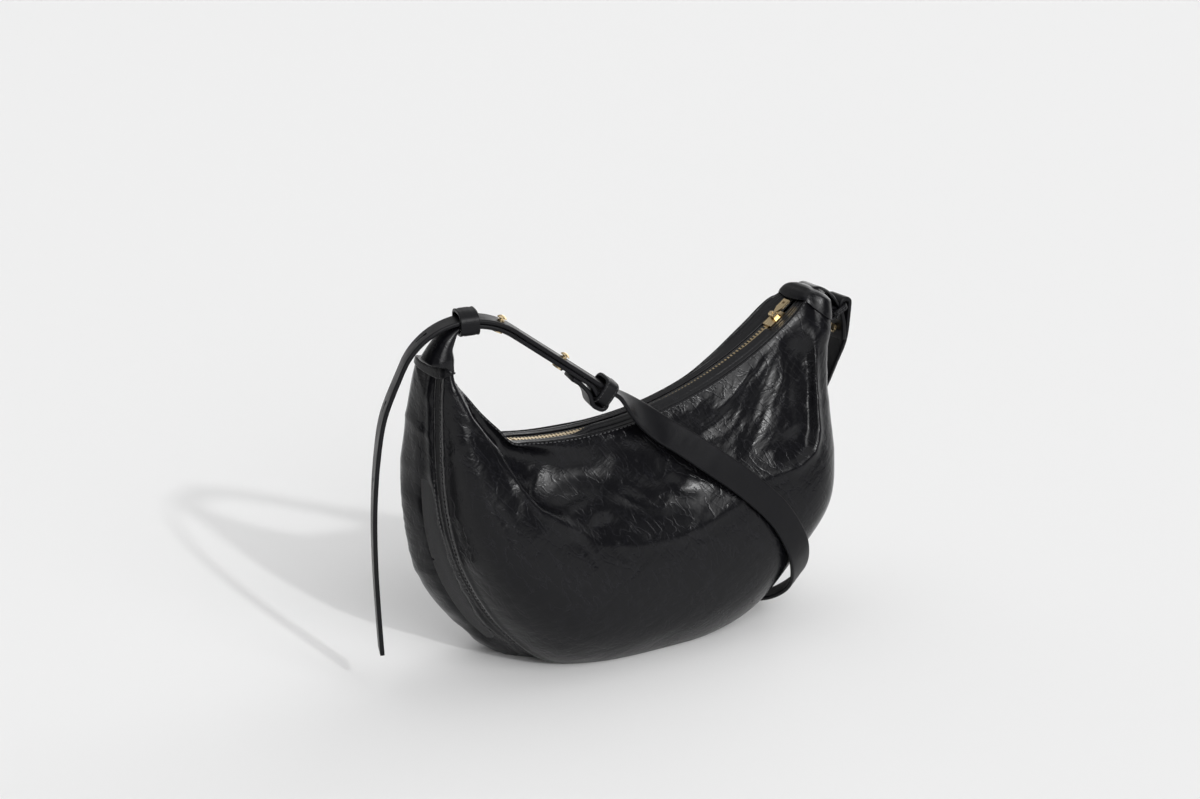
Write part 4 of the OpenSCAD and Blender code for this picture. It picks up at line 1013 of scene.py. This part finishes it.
# The studio's soft boxes, each the way towards its middle and the brightness by the cosine from there:
# overhead, right, left, behind and in front
SOFT_BOXES = [((0, 0, 1), [(0.0, 0.04), (0.72, 0.05), (0.86, 0.4), (1.0, 0.44)]),
              ((0.92, 0.37, 0.12), [(0.0, 0.0), (0.76, 0.0), (0.86, 0.85), (1.0, 0.9)]),
              ((-1, 0, 0), [(0.0, 0.0), (0.75, 0.0), (0.88, 0.1), (1.0, 0.12)]),
              ((0, 1, 0), [(0.0, 0.0), (0.3, 0.0), (0.65, 0.17), (1.0, 0.19)]),
              ((-0.12, -0.84, 0.53), [(0.0, 0.0), (0.885, 0.0), (0.945, 1.9), (1.0, 2.0)])]
WORLD_STRENGTH = 2.12
SUN_ENERGY = 0.95
SUN_ANGLE = 2.2
SUN_FROM = (-0.03, -0.875, 0.483)
CAMERA_LENS = 85.0
CAMERA_AZIMUTH = -33
CAMERA_ELEVATION = 17
CAMERA_FAR = 1.8
CAMERA_TARGET = (-0.0305, 0, 0.1698)


# Operators
class HALFMOON_OT_stage(bpy.types.Operator):
    """Lays the pale floor, sets the studio light and places the camera"""
    bl_idname = "half_moon.stage"
    bl_label = "Stage"

    def execute(self, context):
        look = context.scene.half_moon_looks
        bm = bmesh.new()
        bmesh.ops.create_grid(bm, x_segments=8, y_segments=8, size=9.0)
        mesh = bpy.data.meshes.new("floor")
        bm.to_mesh(mesh)
        bm.free()
        floor = bpy.data.objects.new("floor", mesh)
        context.scene.collection.objects.link(floor)
        mesh.materials.append(principled("floor_paper", tuple(look.floor_colour), 0.9, specular=0.1)[0])
        self.light(context)
        self.camera(context)
        return {"FINISHED"}

    def light(self, context):
        world = bpy.data.worlds.new("studio")
        world.use_nodes = True
        context.scene.world = world
        tree = world.node_tree
        facing = where_of(tree, "Generated")
        boxes = [ramp(tree, vector_math(tree, "DOT_PRODUCT", facing, way), stops) for way, stops in SOFT_BOXES]
        light = boxes[0]
        for other in boxes[1:]:
            light = vector_math(tree, "MAXIMUM", light, other)
        back = tree.nodes["Background"]
        tree.links.new(light, back.inputs["Color"])
        back.inputs["Strength"].default_value = WORLD_STRENGTH
        context.scene.view_settings.view_transform = "Standard"
        sun = bpy.data.lights.new("key", "SUN")
        sun.energy = SUN_ENERGY
        sun.angle = math.radians(SUN_ANGLE)
        key = bpy.data.objects.new("key", sun)
        key.rotation_euler = Vector(SUN_FROM).to_track_quat("Z", "Y").to_euler()
        context.scene.collection.objects.link(key)

    def camera(self, context):
        cam = bpy.data.cameras.new("camera")
        cam.lens = CAMERA_LENS
        cam.sensor_width = 36.0
        cam.clip_start = 0.05
        cam.clip_end = 60.0
        obj = bpy.data.objects.new("camera", cam)
        context.scene.collection.objects.link(obj)
        az, el = math.radians(CAMERA_AZIMUTH), math.radians(CAMERA_ELEVATION)
        out = Vector((math.cos(el) * math.sin(az), -math.cos(el) * math.cos(az), math.sin(el)))
        obj.location = Vector(CAMERA_TARGET) + out * CAMERA_FAR
        obj.rotation_euler = out.to_track_quat("Z", "Y").to_euler()
        context.scene.camera = obj


def from_middle(side):
    """The way outwards at a place on a panel, roughly."""
    return lambda c: (c.x, side * 0.05, c.z - 0.08)


class HALFMOON_OT_panels(bpy.types.Operator):
    """Makes the two slumped and crinkled leather panels"""
    bl_idname = "half_moon.panels"
    bl_label = "Panels"

    def execute(self, context):
        size = context.scene.half_moon_sizes
        for side, name in ((-1, "front_panel"), (1, "back_panel")):
            points, _ = shell_grid(side, spaced(0, LAST, size.along), rows_down(size.down), 0, fine=True)
            bm = mapped_grid(points, from_middle(side))
            thicken(as_object(name + "_leather", bm, "leather", "bag", (name,)), LEATHER_T)
        return {"FINISHED"}


class HALFMOON_OT_insides(bpy.types.Operator):
    """Makes the lining, its slip pocket and the tape over the outer seam"""
    bl_idname = "half_moon.insides"
    bl_label = "Lining and pocket"

    def execute(self, context):
        tape_depth = LEATHER_T + SOFT_GAP
        lining_depth = tape_depth + SEAM_TAPE_T + SOFT_GAP
        pocket_depth = lining_depth + LINING_T + SOFT_GAP
        whole = [LAST * k / 40 for k in (6, 35)]
        for side, name in ((-1, "lining_front"), (1, "lining_back")):
            self.layer(side, name, spaced(*whole, 90), spaced(1 / 12, 1.0, 40), lining_depth)
        pocket = [LAST * k / 40 for k in (15, 25)]
        self.layer(1, "inner_pocket", spaced(*pocket, 40), spaced(3 / 12, 8 / 12, 24), pocket_depth)
        d = tape_depth + SEAM_TAPE_T / 2
        shares = (11 / 12, 0.965, 1.0)
        rows = [[shell_point(-1, u, v, d) for v in shares] + [shell_point(1, u, v, d) for v in shares[::-1]]
                for u in spaced(*whole, 120)]
        bm = mapped_grid(rows, lambda c: (c.x, 0, c.z - 0.1))
        thicken(as_object("seam_tape_cloth", bm, "tape", "bag", ("seam_tape",)), SEAM_TAPE_T, 0.0)
        return {"FINISHED"}

    def layer(self, side, name, us, vs, depth):
        points, _ = shell_grid(side, us, vs, depth + LINING_T / 2)
        bm = mapped_grid(points, from_middle(side))
        thicken(as_object(name + "_cloth", bm, "cloth", "bag", (name,)), LINING_T, 0.0)


TAPE_INNER_Y = (3.3 / 4.2 - 0.36) * TOOTH_REACH + METAL_GAP
STRIP_T = 1.1
STRIP_DROP = 0.5
STRIP_FALL = 0.5
STRIP_OPEN_Y = SLIDER_W / 2 + 4 * RUN_GAP
STRIP_CLOSE = (5.05, 5.6)


def strip_lift(u):
    """How far the front strip stands up along the teeth at station u, in millimetres."""
    return 3.9 * smooth((u - 7.7) / 0.8) * (1 - 0.1 * smooth((u - 13.3) / 0.4)) * (1 - smooth((u - 14.7) / 0.5))


def strip_line(side, u, e):
    """Points across a strip beside the zip at station u, e under its upper face."""
    def at(rim, y, drop):
        x, z = rim + unit(seam_at(u) - rim) * drop
        return np.array([x, side * y, z])
    closed, opened = STRIP_CLOSE
    open_part = smooth((u - opened) / 0.6)
    inner = mix(SOFT_GAP / 2, STRIP_OPEN_Y, smooth((u - closed) / (opened - closed)))
    outer = mouth_at(side, u) - LEATHER_T - SOFT_GAP
    a = at(edge_at(side, u), outer, STRIP_DROP + e)
    b = at(rim_at(u), mix(outer, inner, 0.6), STRIP_DROP + STRIP_FALL + e)
    c = at(rim_at(u), inner, STRIP_DROP + STRIP_FALL + e)
    line = []
    for k in spaced(0, 1, 18):
        p = mix(a, b, k / 0.6) if k < 0.6 else mix(b, c, (k - 0.6) / 0.4)
        rise = strip_lift(u) * smooth(k * 1.15) if side < 0 else 0.5 * math.sin(math.pi * k)
        fold = 0.45 * open_part * (math.exp(-((k - 0.34) / 0.05) ** 2) + math.exp(-((k - 0.68) / 0.05) ** 2))
        line.append(p + np.array([0, 0, rise * open_part - fold]))
    return line


def tape_line(side, a):
    """Points across a zip tape at angle a of the zip's arc."""
    inner = TAPE_INNER_Y
    x, z = ARC_CENTRE + ZIP_ARC_R * np.array([math.sin(math.radians(a)), -math.cos(math.radians(a))])
    return [np.array([x, side * (inner + TAPE_W * k / 5), z]) for k in range(6)]


class HALFMOON_OT_zip(bpy.types.Operator):
    """Makes the leather strips and tapes of the zip"""
    bl_idname = "half_moon.zip"
    bl_label = "Zip strips and tapes"

    def execute(self, context):
        slider_turn = SLIDER_L * 180 / (math.pi * ZIP_ARC_R)
        angles = spaced(-ZIP_LEFT_ANGLE - slider_turn, ZIP_RIGHT_ANGLE + 2 * slider_turn, 160)
        for side, name in ((-1, "front"), (1, "back")):
            strip = [strip_line(side, u, STRIP_T / 2) for u in spaced(0, LAST, 240)]
            tape = [tape_line(side, a) for a in angles]
            for rows, piece, finish, slot, t in ((strip, "zip_strip_" + name, "smooth", "leather", STRIP_T),
                                                 (tape, "zip_tape_" + name, "tape", "cloth", TAPE_T)):
                bm = mapped_grid(rows, lambda c: (0, 0, 1))
                thicken(as_object(piece + "_" + slot, bm, finish, "bag", (piece,)), t, 0.0)
        return {"FINISHED"}


class HALFMOON_OT_caps(bpy.types.Operator):
    """Makes the leather caps of the two horns"""
    bl_idname = "half_moon.caps"
    bl_label = "Caps"

    def execute(self, context):
        as_object("left_cap_leather", self.left(), "smooth", "bag", ("left_cap",))
        as_object("right_cap_leather", join(self.right()), "smooth", "bag", ("right_cap",))
        return {"FINISHED"}

    def left(self):
        """The cap that narrows from the left horn to the short strap."""
        neck = on_arch(ARCH_LOW_R, NECK_TURN)
        x = rim_at(0)[0]
        yaw = ARCH_YAW
        outer = [horn_ring(0.2, 1.5, 0.35, 0.5), horn_ring(0.08, 1.7, 0.2, 0.5), horn_ring(0, 1.2, 0, 0.6),
                 oval_ring([x - 6.4, 1.0, 214.5], 189, 9.3, 13.2, 0.3 * yaw),
                 oval_ring([x - 4.4, 0.5, 221.5], 184, 6.4, 11.4, 0.6 * yaw),
                 oval_ring([neck[0] - 7.4, 0, 228.3], 165, 4.7, 10.2, 0.9 * yaw),
                 oval_ring([neck[0] - 3.2, 0, 232.0], 135, 2.5, 9.5, yaw),
                 oval_ring(neck, 90 - NECK_TURN, STRAP_T / 2, STRAP_W / 2, yaw)]
        inner = [horn_ring(0.02, 0.2), horn_ring(0.08, 0.3, 0.2), horn_ring(0.19, 0.5, 0.35)]
        return cap_mesh(inner, outer)

    def right(self):
        """The lid of the right horn, the tab that goes over it and the tab's loop round the end ring."""
        top = horn_ring(LAST, 2.0, 0, 0.3)
        lips = [(18.5, 1.5, 1.3, 0.55, 0.2), (18.9, 2.1, 0.98, 0.4, 0.4), (19.5, 2.2, 0.45, 0.2, 0.6)]
        outer = [lipped(horn_ring(u, d, dip, 0.3), u, reach, rise) for u, d, dip, reach, rise in lips]
        outer += [top, domed(top, 0.8, 2.2), domed(top, 0.5, 4.0), domed(top, 0.2, 4.8)]
        inner = [horn_ring(LAST - 0.1, 0.2), horn_ring(19.2, 0.3, 0.7),
                 lipped(horn_ring(18.51, 0.5, 1.3), 18.51, 0.54, 0.1)]
        middle = np.mean(np.array(top), axis=0)
        tab = refine([middle + np.array([-6, 0, 3.4]), middle + np.array([2, 0, 4.4]), [149, TAB_Y, 214.5],
                      [156, TAB_Y, 207], [158.6, TAB_Y, 200], [156, TAB_Y, 195.8]], 6)
        loop = [END_LEG + (TAB_R + TAB_T / 2) * around(a) for a in range(0, 360, 10)]
        return [cap_mesh(inner, outer), strap_mesh(tab, [ACROSS] * len(tab), TAB_W + 1.5, TAB_T - 0.4, groove=0.2),
                strap_mesh(loop, [ACROSS] * len(loop), TAB_W, TAB_T, closed=True)]


HOLE_PITCH = 48
HOLE_D = 3.2
SLIT_W = 0.8
SLIT_L = 7
FAR_STUD = 0.53 * DOUBLE_L
# Points of a strap's route that lie closer than this are left out
LEAST_STEP = 0.5


def hole_places(points, widths):
    """Where the free end's holes lie: place, way down the strap and way across it."""
    arch_end = on_arch(ARCH_R, ARCH_END)
    start = min(range(len(points)), key=lambda i: float(np.linalg.norm(points[i] - arch_end)))
    wanted = [k * HOLE_PITCH - FAR_STUD for k in (2, 3, 4)]
    places = []
    run = 0.0
    for i in range(start + 1, len(points) - 1):
        run += float(np.linalg.norm(points[i] - points[i - 1]))
        if wanted and run >= wanted[0]:
            t, a, b = frames_along(points[i - 1:i + 2], widths[i - 1:i + 2])[1]
            places.append((points[i], t, a, b))
            wanted.pop(0)
    return places


def pierce(obj, places):
    """Cuts a round hole with its slit through a strap at each place."""
    bm = bmesh.new()
    for p, t, a, b in places:
        hole = bmesh.ops.create_cone(bm, cap_ends=True, segments=20, radius1=HOLE_D / 2, radius2=HOLE_D / 2,
                                     depth=3 * STRAP_T)["verts"]
        slit = bmesh.ops.create_cube(bm, size=1.0)["verts"]
        for q in slit:
            q.co = Vector(((q.co.x + 0.5) * SLIT_L, q.co.y * SLIT_W, q.co.z * 3.3 * STRAP_T))
        for q in hole + slit:
            c = q.co.copy()
            q.co = Vector(p + t * c.x + a * c.y + b * c.z) * MM
    mesh = bpy.data.meshes.new("holes")
    bm.to_mesh(mesh)
    bm.free()
    cutter = bpy.data.objects.new("holes", mesh)
    bpy.context.scene.collection.objects.link(cutter)
    mod = obj.modifiers.new("Holes", "BOOLEAN")
    mod.object = cutter
    mod.operation = "DIFFERENCE"
    mod.solver = "EXACT"
    mod.use_self = True
    bpy.context.view_layer.update()
    cut = bpy.data.meshes.new_from_object(obj.evaluated_get(bpy.context.evaluated_depsgraph_get()))
    obj.modifiers.clear()
    old = obj.data
    obj.data = cut
    cut.name = old.name
    bpy.data.objects.remove(cutter)
    bpy.data.meshes.remove(mesh)
    bpy.data.meshes.remove(old)


class HALFMOON_OT_straps(bpy.types.Operator):
    """Makes the long and the short strap"""
    bl_idname = "half_moon.straps"
    bl_label = "Straps"

    def execute(self, context):
        for name, (points, widths) in (("long_strap", long_strap_route()), ("short_strap", short_strap_route())):
            keep = [0]
            for i in range(1, len(points)):
                if np.linalg.norm(points[i] - points[keep[-1]]) > LEAST_STEP:
                    keep.append(i)
            points, widths = [points[i] for i in keep], [widths[i] for i in keep]
            bm = strap_mesh(points, widths, STRAP_W, STRAP_T, groove=0.25)
            obj = as_object(name + "_leather", bm, "strap", "bag", (name,))
            if name == "long_strap":
                pierce(obj, hole_places(points, widths))
        return {"FINISHED"}


RING_SIDE_GAP = 0.6
MID_RING_W = 1.55 * LINK_W
KEEPER_ANGLE = -3


def bowed_loop(w, h, power, n=72):
    """Points evenly round a loop between an oval and a rectangle: the higher the power, the squarer."""
    def bowed(c, length):
        return math.copysign(abs(c) ** (2 / power), c) * length / 2
    turns = [2 * math.pi * k / n for k in range(n)]
    loop = np.array([(bowed(math.cos(a), w), bowed(math.sin(a), h)) for a in turns + turns[:1]])
    steps = lengths_along(loop)
    return [place_along(loop, steps, steps[-1] * k / n)[0] for k in range(n)]


def ring_loop(reach, power, middle, way):
    """Points round a ring that lies across the strap, reaching along one way from its middle."""
    return [middle + p * way + q * ACROSS for p, q in bowed_loop(reach, STRAP_W + 2 * RING_SIDE_GAP + RING_T, power)]


def keeper_parts():
    """Route and width direction of the keeper's band."""
    radial = around(90 - KEEPER_ANGLE)
    loop = ring_loop(KEEPER_GAP + RING_T, 2.9, ARCH_C + (ARCH_R - LAYER / 2) * radial, radial)
    return [in_arch(p) for p in loop], turn_in_arch(around(-KEEPER_ANGLE))


def link_parts(origin, legs, reach):
    """Route and width direction of a joining ring: legs is the direction from one leg to the other."""
    return ring_loop(reach, 4.2, origin + legs * reach / 2, legs), np.cross(legs, ACROSS)


def ring_list():
    middle, axis = link_parts(flat_line(DOUBLE_L, LOW_LEG), LINE_UP, MID_LINK_REACH)
    return [("keeper_ring", *keeper_parts(), KEEPER_W, "keeper"),
            ("middle_ring", [in_arch(p) for p in middle], turn_in_arch(axis), MID_RING_W, "bag"),
            ("end_ring", *link_parts(END_LEG, around(END_TURN), END_LINK_REACH), END_LINK_W, "bag")]


class HALFMOON_OT_rings(bpy.types.Operator):
    """Makes the keeper and the two joining rings"""
    bl_idname = "half_moon.rings"
    bl_label = "Rings"

    def execute(self, context):
        for name, route, axis, width, body in ring_list():
            widths = [axis] * len(route)
            shape = section(width, RING_T, steps=8, round_r=0.6)
            bm = strap_mesh(route, widths, width, RING_T, closed=True, shape=shape, groove=0.3)
            as_object(name + "_leather", bm, "strap", body, (name,))
            centre = np.mean(np.array(route), axis=0)
            through = [f[2] * (RING_T / 2) for f in frames_along(route, widths, True)]
            rows = []
            for k in (-1, 1):
                middle = [p + axis * k * (width / 2 - 1.3) for p in route]
                line = [p + o for p, o in zip(middle, through)]
                if np.linalg.norm(line[0] - centre) < np.linalg.norm(route[0] - centre):
                    line = [p - o for p, o in zip(middle, through)]
                line.append(line[0])
                rows.append(stitches(line, [p - centre for p in line], 2.4, 1.9, 0.4))
            as_object(name + "_thread", join(rows), "thread", body, ())
        return {"FINISHED"}


class HALFMOON_OT_stitching(bpy.types.Operator):
    """Sews the panels' top edges and the outer seam"""
    bl_idname = "half_moon.stitching"
    bl_label = "Stitching"

    def execute(self, context):
        size = context.scene.half_moon_sizes
        rows = []
        for side in (-1, 1):
            lines = ([], [])
            for u in spaced(0.9, LAST - 0.7, 260):
                k = size.stitch_in / lengths_along(rib_table(side, u))[-1]
                for line, v in zip(lines, (k * 0.6, 1 - k * 0.8)):
                    grid, normal = shell_grid(side, [u - 0.02, u, u + 0.02], [v - 0.004, v, v + 0.004], 0)
                    line.append((grid[1, 1], normal[1, 1]))
            rows += [stitches(*zip(*line), size.stitch_pitch, 2.3) for line in lines]
        as_object("body_thread", join(rows), "thread", "bag", ())
        return {"FINISHED"}


class HALFMOON_OT_metal(bpy.types.Operator):
    """Gives the zip's metal and the studs their polished brass"""
    bl_idname = "half_moon.metal"
    bl_label = "Brass"

    def execute(self, context):
        for name in ("zip_teeth_front", "zip_teeth_back", "zip_end_stops", "zip_slider", "zip_pull",
                     "stud_heads", "stud_screws"):
            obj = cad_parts[name]
            obj.data.materials.clear()
            obj.data.materials.append(finish_of("brass"))
        return {"FINISHED"}


STEPS = ("stage", "panels", "insides", "zip", "caps", "straps", "rings", "stitching", "metal")


class HALFMOON_PT_panel(bpy.types.Panel):
    """Lists the steps that dress the bag"""
    bl_idname = "HALFMOON_PT_panel"
    bl_label = "Half moon bag"
    bl_space_type = "VIEW_3D"
    bl_region_type = "UI"
    bl_category = "Half moon bag"

    def draw(self, context):
        for step in STEPS:
            self.layout.operator("half_moon." + step)
        for group in (context.scene.half_moon_sizes, context.scene.half_moon_looks):
            for name in group.__annotations__:
                self.layout.prop(group, name)


CLASSES = (HalfMoonSizes, HalfMoonLooks, HALFMOON_OT_stage, HALFMOON_OT_panels, HALFMOON_OT_insides,
           HALFMOON_OT_zip, HALFMOON_OT_caps, HALFMOON_OT_straps, HALFMOON_OT_rings, HALFMOON_OT_stitching,
           HALFMOON_OT_metal, HALFMOON_PT_panel)


def register():
    for c in CLASSES:
        bpy.utils.register_class(c)
    bpy.types.Scene.half_moon_sizes = bpy.props.PointerProperty(type=HalfMoonSizes)
    bpy.types.Scene.half_moon_looks = bpy.props.PointerProperty(type=HalfMoonLooks)


def unregister():
    del bpy.types.Scene.half_moon_sizes
    del bpy.types.Scene.half_moon_looks
    for c in reversed(CLASSES):
        bpy.utils.unregister_class(c)


def main():
    register()
    for step in STEPS:
        getattr(bpy.ops.half_moon, step)()
    bpy.context.view_layer.update()


if __name__ == "__main__":
    main()
